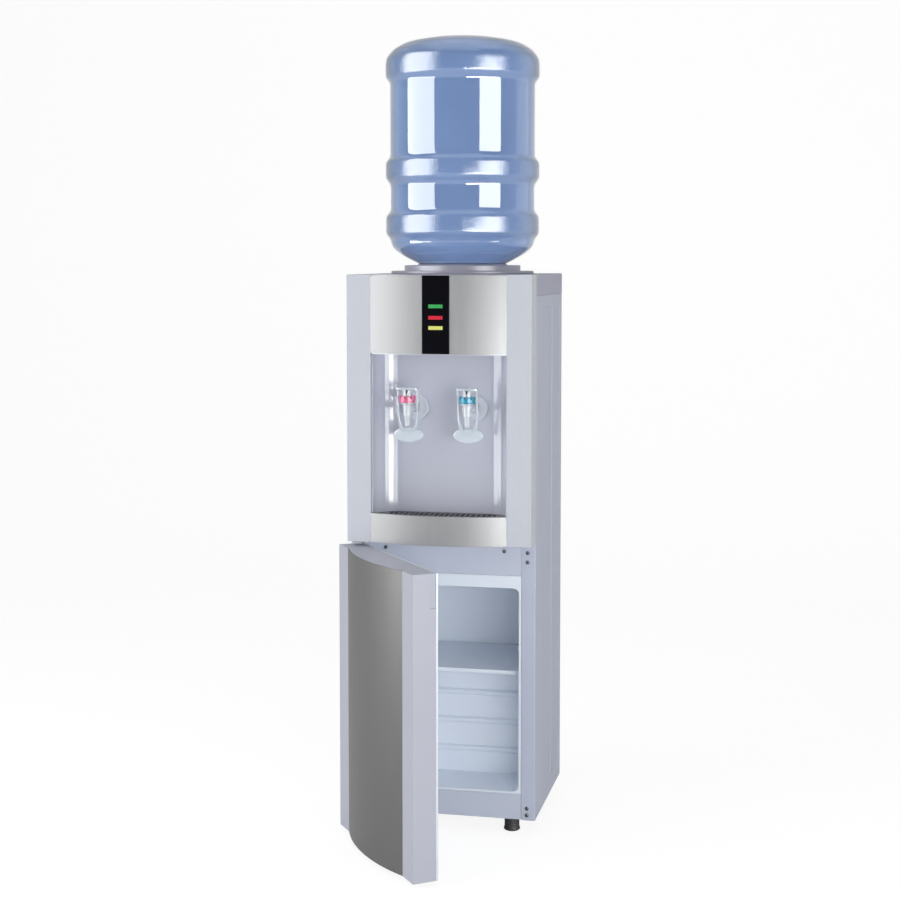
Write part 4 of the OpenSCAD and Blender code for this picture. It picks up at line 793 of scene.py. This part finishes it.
@dataclass
class Tap:
    """Lever tap: body with its spout, coloured ring, stem and clear lever."""

    side: int = -1
    pitch: float = 51.5 * MM
    y: float = -173.6 * MM
    z: float = 738 * MM
    lean: float = math.radians(6)
    lever_len: float = 79.5 * MM
    pivot_h: float = 36.45 * MM
    barrel: Outline = (
        (3.2, -27), (4.4, -27), (5.4, -9.5), (7.4, -9.5), (7.4, 9.8), (11, 9.8), (11, 13), (7.9, 13),
        (7.9, 33.9), (5.2, 33.9), (5.2, 27.9), (2.3, 27.9), (2.3, 1), (3.2, 0))
    crown_slots: Notches = Notches(30 * MM, 6 * MM, 4, 0.33)
    pipe: Outline = (
        (3.2, 6.2), (6.3, 6.2), (6.3, 54), (8.5, 60.7), (23, 60.7), (23, 64.3), (8, 64.3), (8, 87.6),
        (3.2, 87.6))
    ring_base: float = 13.3 * MM
    ring_outline: Outline = ((8.2, 0), (13.6, 0), (13.6, 11), (8.2, 11))
    ring_notches: Notches = Notches(8 * MM, 4 * MM, 8, 0.42)
    stem_outline: Outline = ((0, 3), (2.2, 3), (2.2, 37.2), (5, 37.2), (5, 38), (3, 38.6), (0, 38.6))
    bar_half: tuple[float, float] = (18.5, 8)
    bar_rings: tuple[Point, ...] = (
        (4, 0, -2.1), (4.3, 0, -2.25), (0, 0.94, -2.25), (0, 1, -1.6), (0, 1, 1.6), (0, 0.94, 2.25),
        (6.8, 0, 2.25), (6.6, 0, 0.45), (4, 0, 0.45))
    loop: Outline = (
        (-16.4, -1), (-16.4, -46), (-14.6, -61), (-9.5, -72.3), (0, -74.3), (9.5, -72.3), (14.6, -61),
        (16.4, -46), (16.4, -1))
    arm_half: tuple[float, float] = (1.4 * MM, 1.9 * MM)
    arm_wider: float = 2.6 * MM
    arm_wide_from: tuple[float, float] = (53 * MM, 74 * MM)
    paddle_half: Point = (25.5 * MM, 1.5 * MM, 13 * MM)
    paddle_dish: float = 1.0 * MM

    @property
    def kind(self) -> str:
        """Ending of this tap's names."""
        return "hot" if self.side < 0 else "cold"

    @property
    def centre(self) -> np.ndarray:
        """Point where the spout's and the barrel's axes meet."""
        return np.array([self.side * self.pitch, self.y, self.z])

    def body(self) -> None:
        """Makes the body: barrel and crown, spout, rosette and the stub behind the wall."""
        barrel = eased(np.array(self.barrel) * MM, 0.7 * MM, 4, closed=True)
        crown = revolved(barrel, self.centre, 96, True, self.crown_slots.lowered)
        pipe = eased(np.array(self.pipe) * MM, 1.6 * MM, 4, closed=True)
        spout = along_y(revolved(pipe, self.centre, 64, True), self.centre)
        place(f"tap_{self.kind}_body", joined([crown, spout]), Palette.FROST, Body.CABINET,
              f"tap_body_{self.kind}")

    def ring(self) -> None:
        """Makes the coloured ring."""
        section = eased(np.array(self.ring_outline) * MM, 0.8 * MM, 4, closed=True)
        base = self.centre + (0, 0, self.ring_base)
        skin = revolved(section, base, 144, True, self.ring_notches.lowered)
        finish = Palette.RING_HOT if self.side < 0 else Palette.RING_COLD
        place(f"tap_{self.kind}_ring", skin, finish, Body.CABINET,
              f"tap_ring_{self.kind}")

    def stem(self) -> None:
        """Makes the stem with its domed head."""
        skin = revolved(eased(np.array(self.stem_outline) * MM, 0.4 * MM, 4), self.centre, 48)
        body = Body(f"stem_{self.kind}")
        place(f"tap_{self.kind}_stem", skin, Palette.STEM, body, f"tap_stem_{self.kind}")

    def lever(self) -> None:
        """Makes the lever: a pierced bar, a loop of two arms and a dished paddle."""
        lean = [part.turned(self.lean, 0, (0, 0, 0)) for part in (self.arms(), self.paddle())]
        pivot = self.centre + (0, 0, self.pivot_h)
        skin = joined([part.outward().moved(pivot) for part in (self.bar(), *lean)])
        body = Body(f"lever_{self.kind}")
        place(f"tap_{self.kind}_lever", skin, Palette.CLEAR, body,
              f"tap_lever_{self.kind}")

    def bar(self) -> Skin:
        """Pierced bar: each ring's radius is r + k times the superellipse |x/a|^5 + |y/b|^5 = 1."""
        angle = np.linspace(0, TURN, 96, endpoint=False)[None, :]
        a, b = self.bar_half
        edge = (np.abs(np.cos(angle) / a) ** 5 + np.abs(np.sin(angle) / b) ** 5) ** (-1 / 5)
        rings = np.array(self.bar_rings)[:, :, None] * MM
        radius = rings[:, 0] + rings[:, 1] * edge
        height = rings[:, 2] + 0 * radius
        return grid(np.stack([radius * np.cos(angle), radius * np.sin(angle), height], axis=-1), wrap_u=True)

    def arms(self) -> Skin:
        """Loop of two arms, which widens between two depths below the pivot."""
        loop = eased(np.asarray(self.loop) * MM, 8 * MM, 8)
        path = np.stack([loop[:, 0], 0 * loop[:, 0], loop[:, 1]], axis=1)
        half_w, half_t = self.arm_half
        start, end = self.arm_wide_from
        wide = half_w + self.arm_wider * np.clip((-loop[:, 1] - start) / (end - start), 0, 1)
        return swept(path, (0, 1, 0), wide, np.full(len(path), half_t), 3.0, 20)

    def paddle(self) -> Skin:
        """Oval dish: y = d (rho^2 - 1/2) -+ t (1 - rho^6)^(1/2), d its dish and t half its thickness."""
        rho = np.sin(np.linspace(0, math.pi / 2, 14))
        rho = np.concatenate([rho, rho[::-1]])[:, None]
        sign = np.repeat([-1.0, 1.0], 14)[:, None]
        angle = np.linspace(0, TURN, 72, endpoint=False)[None, :]
        half_x, half_y, half_z = self.paddle_half
        x = half_x * rho * np.cos(angle)
        z = half_z * rho * np.sin(angle) - self.lever_len
        y = self.paddle_dish * (rho**2 - 0.5) + sign * half_y * np.sqrt(np.clip(1 - rho**6, 0, 1))
        return grid(np.stack([x, y + 0 * angle, z], axis=-1))

    def build(self) -> None:
        """Makes the whole tap."""
        self.body()
        self.ring()
        self.stem()
        self.lever()


@dataclass
class Feet:
    """Four black feet with a flared, ribbed skirt."""

    places: Outline = ((-113.8, -87), (113.8, -87), (-113.8, 87), (113.8, 87))
    outline: Outline = (
        (0, 0), (12, 0), (14.2, 1.8), (14.2, 4), (13, 6.2), (13, 12), (12.6, 12.8), (13, 13.6), (13, 19),
        (12.6, 19.8), (13, 20.6), (13, 27), (4, 27), (4, 43), (0, 43))

    def build(self) -> None:
        """Makes the feet."""
        section = eased(np.asarray(self.outline) * MM, 0.8 * MM, 4)
        one = revolved(section, (0, 0, 0), 64)
        skin = joined([one.moved((x * MM, y * MM, 0)) for x, y in self.places])
        place("feet_rubber", skin, Palette.RUBBER, Body.CABINET, "feet")


@dataclass
class Compressor:
    """Black hermetic compressor: a welded can on its foot plate, with the relay cover."""

    centre: Point = (-20 * MM, 86 * MM, 40.2 * MM)
    radius: float = 58 * MM
    ease: float = 6 * MM
    plate_edge: float = 1.1 * MM
    relay_edge: float = 4 * MM
    outline: Outline = (
        (0, 1), (0.78, 1), (0.95, 12), (1, 22), (1, 66), (1.035, 67), (1.035, 71), (1, 72), (1, 106),
        (0.93, 124), (0.68, 137), (0.3, 142), (0, 143))
    plate: tuple[Point, Point] = ((-70, -50, 0), (70, 50, 2.5))
    relay: tuple[Point, Point] = ((45, -20, 44), (71, 20, 88))

    def build(self) -> None:
        """Makes the compressor."""
        section = np.array([(r * self.radius, z * MM) for r, z in self.outline])
        can = revolved(eased(section, self.ease, 5), self.centre, 96)
        plate = rounded_box(*(np.array(self.plate) * MM), self.plate_edge).moved(self.centre)
        relay = rounded_box(*(np.array(self.relay) * MM), self.relay_edge).moved(self.centre)
        place("compressor_can", joined([can, plate, relay]), Palette.BLACK_PAINT, Body.CABINET,
              "compressor")


@dataclass
class Condenser:
    """Black serpentine tube with upright wires and its clips."""

    y: float = 158 * MM
    half: float = 126 * MM
    base: float = 566 * MM
    pitch: float = 34 * MM
    runs: int = 10
    tube_r: float = 2.5 * MM
    wire_r: float = 0.8 * MM
    wire_pitch: float = 14 * MM
    wires: int = 6
    wire_gap: float = 0.1 * MM
    wire_end: float = 6 * MM
    panel_y: float = BACK_PANEL_Y + 0.1 * MM
    clip_half: tuple[float, float] = (6 * MM, 4 * MM)
    clip_x: float = 88.2 * MM

    def path(self) -> np.ndarray:
        """Serpentine: half circles of radius pitch / 2 between level runs, on alternate sides."""
        r = self.pitch / 2
        turn = np.linspace(-math.pi / 2, math.pi / 2, 16)
        level = np.arange(self.runs - 1)[:, None]
        side = np.where(level % 2 == 0, 1.0, -1.0)
        x = side * (self.half - r + r * np.cos(turn)[None])
        z = self.base + level * self.pitch + r + r * np.sin(turn)[None]
        ends = np.array([[-self.half, self.base], [-self.half, self.base + (self.runs - 1) * self.pitch]])
        flat = np.vstack([ends[:1], np.stack([x.ravel(), z.ravel()], axis=1), ends[1:]])
        return np.stack([flat[:, 0], np.full(len(flat), self.y), flat[:, 1]], axis=1)

    def build(self) -> None:
        """Makes the condenser."""
        path = self.path()
        size = np.full(len(path), self.tube_r)
        parts = [swept(path, (0, 1, 0), size, size, 2.0, 14)]
        top = self.base + (self.runs - 1) * self.pitch
        wire_y = self.y + self.tube_r + self.wire_gap + self.wire_r
        heights = np.linspace(self.base - self.wire_end, top + self.wire_end, 3)
        line = np.stack([0 * heights, 0 * heights + wire_y, heights], axis=1)
        one = swept(line, (0, 1, 0), np.full(3, self.wire_r), np.full(3, self.wire_r), 2.0, 8)
        parts += [one.moved((k * self.wire_pitch, 0, 0)) for k in range(-self.wires, self.wires + 1)]
        half_x, half_z = self.clip_half
        clip = rounded_box((-half_x, self.panel_y, -half_z), (half_x, self.y - MM, half_z), MM)
        parts += [clip.moved((x, 0, self.base + k * self.pitch))
                  for x in (-self.clip_x, self.clip_x) for k in (1, self.runs - 2)]
        place("condenser_grid", joined(parts), Palette.BLACK_PAINT, Body.CABINET,
              "condenser")


@dataclass
class Screws:
    """Domed screws with a cross recess."""

    head_r: float = 3.4 * MM
    head_h: float = 2.1 * MM
    shank: float = 1.6 * MM
    dome_power: float = 0.35
    cross: float = 0.55 * MM
    cross_reach: float = 0.62
    cross_depth: float = 1.0 * MM
    gap: float = 0.1 * MM
    length: float = 3.5 * MM
    bracket: float = 3 * MM
    front: Outline = ((-104.5, 493.5), (104.5, 493.5), (145, 476), (145, 492), (145, 48), (145, 36))
    hinge: Outline = ((-145, 476), (-145, 492), (-145, 48), (-145, 36))
    rear: Outline = ((-149, 261), (149, 261), (-149, 586.5), (149, 586.5), (-149, 912), (149, 912))

    def one(self) -> Skin:
        """Screw with its axis along -Y: dome h (1 - rho^2)^p, less the depth of its cross."""
        rho = np.linspace(0, 1, 14)[:, None]
        angle = np.linspace(0, TURN, 64, endpoint=False)[None, :]
        x, z = self.head_r * rho * np.cos(angle), self.head_r * rho * np.sin(angle)
        dome = self.head_h * np.clip(1 - rho**2, 0, 1) ** self.dome_power + 0 * angle
        arm = (np.minimum(np.abs(x), np.abs(z)) < self.cross) & (rho < self.cross_reach)
        y = -(self.gap + dome - self.cross_depth * arm)
        r, depth = np.array([(self.head_r, -self.gap), (self.shank, -self.gap), (self.shank, self.length),
                             (0, self.length)]).T[:, :, None]
        tail = np.stack([r * np.cos(angle), depth + 0 * angle, r * np.sin(angle)], axis=-1)
        return grid(np.concatenate([np.stack([x, y, z], axis=-1), tail])).outward()

    def build(self) -> None:
        """Makes all screws."""
        one = self.one()
        turned = one.turned(math.pi, 2, (0, 0, 0))
        skins = [one.moved((x * MM, FLANGE_Y, z * MM)) for x, z in self.front]
        skins += [one.moved((x * MM, FLANGE_Y - self.bracket, z * MM)) for x, z in self.hinge]
        skins += [turned.moved((x * MM, BACK_PANEL_Y, z * MM)) for x, z in self.rear]
        place("screws_set", joined(skins), Palette.SCREW, Body.CABINET, "screws")


@dataclass
class DrainCap:
    """Fluted cap on the drain spout."""

    centre: Point = (-72 * MM, 150.5 * MM, 526 * MM)
    outline: Outline = ((8.06, 0), (11.5, 0), (11.5, 16), (0, 16), (0, 13), (8.06, 13))
    fluted_from: float = 11 * MM
    flutes: int = 12
    swell: float = 0.03

    def build(self) -> None:
        """Makes the cap: its outer radius is r (1 + s cos na), for n flutes."""
        section = eased(np.array(self.outline) * MM, MM, 4)
        section = np.vstack([section, section[:1]])
        skin = revolved(section, self.centre, 96)
        local = skin.points - np.asarray(self.centre)
        angle, r = np.arctan2(local[:, 1], local[:, 0]), np.hypot(local[:, 0], local[:, 1])
        swell = np.where(r > self.fluted_from, 1 + self.swell * np.cos(self.flutes * angle), 1.0)
        local[:, :2] *= swell[:, None]
        cap = along_y(Skin(np.asarray(self.centre) + local, skin.faces), self.centre)
        place("drain_cap_fluted", cap, Palette.WHITE, Body.DRAIN_CAP, "drain_cap")


@dataclass(frozen=True)
class Softbox:
    """Upright softbox that faces the object: it shows either as light or only as a highlight."""

    name: str
    azimuth: float
    distance: float
    z: float
    width: float
    height: float
    power: float
    highlight: bool = False

    def build(self) -> None:
        """Adds the softbox at its azimuth in degrees from the front, positive to the right."""
        a = math.radians(self.azimuth)
        made = area_light(self.name, (self.distance * math.sin(a), -self.distance * math.cos(a), self.z),
                          (self.width, self.height), self.power)
        made.rotation_euler = (math.pi / 2, 0, a)
        made.visible_transmission = made.visible_camera = False
        made.visible_diffuse = not self.highlight
        made.visible_glossy = self.highlight


def area_light(name: str, middle: Point, size: tuple[float, float], power: float) -> bpy.types.Object:
    """Adds a rectangular light that looks down.

    Args:
        name: Name of the light.
        middle: Its middle.
        size: Width and height.
        power: Power in watts.

    Returns:
        The light.
    """
    data = bpy.data.lights.new(name, "AREA")
    data.shape, data.size, data.size_y, data.energy = "RECTANGLE", size[0], size[1], power
    made = added(name, data)
    made.location = middle
    return made


@dataclass
class Studio:
    """Camera, lights, white surroundings and floor."""

    camera_at: Point = (0.631, -2.9546, 0.9913)
    yaw: float = math.radians(12.35)
    pitch: float = math.radians(-3.93)
    lens: float = 68.16
    sensor: float = 36.0
    shift_y: float = -0.0816
    softboxes: tuple[Softbox, ...] = (
        Softbox("left_softbox", -52.3, 2.3, 1.15, 2.1, 2.3, 25),
        Softbox("right_softbox", 57, 2.4, 1.15, 1.38, 2.3, 8.5),
        Softbox("front_softbox", 26, 3.0, 0.7, 1.6, 0.9, 23),
        Softbox("front_card", 30, 3.0, 0.4, 1.3, 0.8, 64, True),
        Softbox("left_card", -58, 2.3, 1.55, 2.2, 3.1, 168, True),
        Softbox("right_card", 56, 2.4, 0.9, 1.53, 1.8, 86, True),
        Softbox("rear_card", 122, 2.4, 1.15, 1.4, 2.3, 4, True))
    top_at: Point = (0, -0.3, 3.4)
    top_size: tuple[float, float] = (2.4, 2.4)
    top_power: float = 12
    fill: float = 0.33
    mirror_y: tuple[float, float] = (-0.2, 0.5)
    mirror_level: tuple[float, float] = (0.15, 0.8)
    mirror_tint: Colour = (0.78, 0.87, 1)
    floor_half: float = 6.0
    wall_y: float = 3.2
    wall_h: float = 5.0
    bend: float = 1.2
    paper: Colour = (0.80, 0.80, 0.80)
    floor_glow: float = 1.16
    floor_seen: float = 0.75
    floor_mirrored: float = 0.25

    def camera(self) -> None:
        """Puts the camera where the photograph was taken from."""
        data = bpy.data.cameras.new("camera")
        data.lens, data.sensor_width, data.shift_y = self.lens, self.sensor, self.shift_y
        made = added("camera", data)
        made.location = self.camera_at
        made.rotation_euler = (math.pi / 2 + self.pitch, 0, self.yaw)
        bpy.context.scene.camera = made

    def world(self) -> None:
        """White where the camera sees it, a plain level where it lights, darker in front in mirrors."""
        world = bpy.data.worlds.new("studio")
        bpy.context.scene.world = world
        world.use_nodes = True
        nodes = Nodes(world.node_tree)
        path = nodes.add("LightPath").outputs
        camera, glossy = path["Is Camera Ray"], path["Is Glossy Ray"]
        across = nodes.add("SeparateXYZ", {0: nodes.add("TexCoord").outputs["Generated"]}).outputs["Y"]
        mirrored = nodes.span(across, *self.mirror_level, *self.mirror_y)
        seen = nodes.add("Mix", {0: camera, 2: mirrored, 3: 1.0}).outputs[0]
        either = nodes.combine("MAXIMUM", nodes.combine("MAXIMUM", camera, glossy),
                               path["Is Transmission Ray"])
        level = nodes.add("Mix", {0: either, 2: self.fill, 3: seen}).outputs[0]
        back = world.node_tree.nodes["Background"].inputs
        nodes.feed(back["Strength"], level)
        nodes.feed(back["Color"], nodes.tint(glossy, (1, 1, 1), self.mirror_tint))

    def floor(self) -> None:
        """Makes the floor that bends up into the backdrop, seen white except for its shadows."""
        turn = np.linspace(0, math.pi / 2, 16)
        line = np.vstack([[(-self.floor_half, 0)],
                          np.stack([self.wall_y - self.bend + self.bend * np.sin(turn),
                                    self.bend - self.bend * np.cos(turn)], axis=1),
                          [(self.wall_y, self.wall_h)]])
        sides = np.array([-self.floor_half, self.floor_half])
        points = np.stack([sides[None] + 0 * line[:, :1], line[:, :1] + 0 * sides[None],
                           line[:, 1:] + 0 * sides[None]], axis=-1)
        skin = grid(points, wrap_v=False)
        mesh = bpy.data.meshes.new("floor")
        mesh.from_pydata(skin.points.tolist(), [], skin.faces[:, ::-1].tolist())
        mesh.shade_smooth()
        graph = Graph("floor_paper")
        fibre = graph.noise(260.0, 2.0)
        graph.set(Base_Color=graph.tint(graph.span(fibre, 0, 1), self.paper, shade(self.paper, 1.025)),
                  Roughness=graph.span(fibre, 0.85, 0.95))
        glow = graph.add("Emission", {"Color": (1, 1, 1, 1), "Strength": self.floor_glow})
        path = graph.add("LightPath").outputs
        mirrored = graph.combine("MULTIPLY", path["Is Glossy Ray"], self.floor_mirrored)
        direct = graph.combine("MAXIMUM", mirrored, path["Is Camera Ray"])
        shown = graph.combine("MAXIMUM", direct, path["Is Transmission Ray"])
        seen = graph.combine("MULTIPLY", shown, self.floor_seen)
        mix = graph.add("MixShader", {0: seen, 1: graph.shader.outputs[0], 2: glow.outputs[0]})
        graph.feed(graph.tree.nodes["Material Output"].inputs["Surface"], mix.outputs[0])
        mesh.materials.append(graph.material)
        added("floor", mesh)

    def build(self) -> None:
        """Makes the studio."""
        self.camera()
        for softbox in self.softboxes:
            softbox.build()
        area_light("top_softbox", self.top_at, self.top_size, self.top_power)
        self.world()
        self.floor()
        bpy.context.scene.view_settings.view_transform = "Standard"


def dress_cad() -> None:
    """Gives each kept CAD node its finish."""
    for finish, names in CAD_FINISH.items():
        for name in names:
            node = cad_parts[name]
            node.data.materials.clear()
            node.data.materials.append(finish.material())
            LOG.info("%s: %s", name, finish.name)


def main() -> None:
    """Builds the studio and the object."""
    logging.basicConfig(level=logging.INFO, format="%(message)s")
    Studio().build()
    dress_cad()
    for part in (Bottle(), Seat(), SidePanel(side=-1), SidePanel(side=1), Tap(side=-1), Tap(side=1), Feet(),
                 Compressor(), Condenser(), Screws(), DrainCap()):
        part.build()


if __name__ == "__main__":
    main()
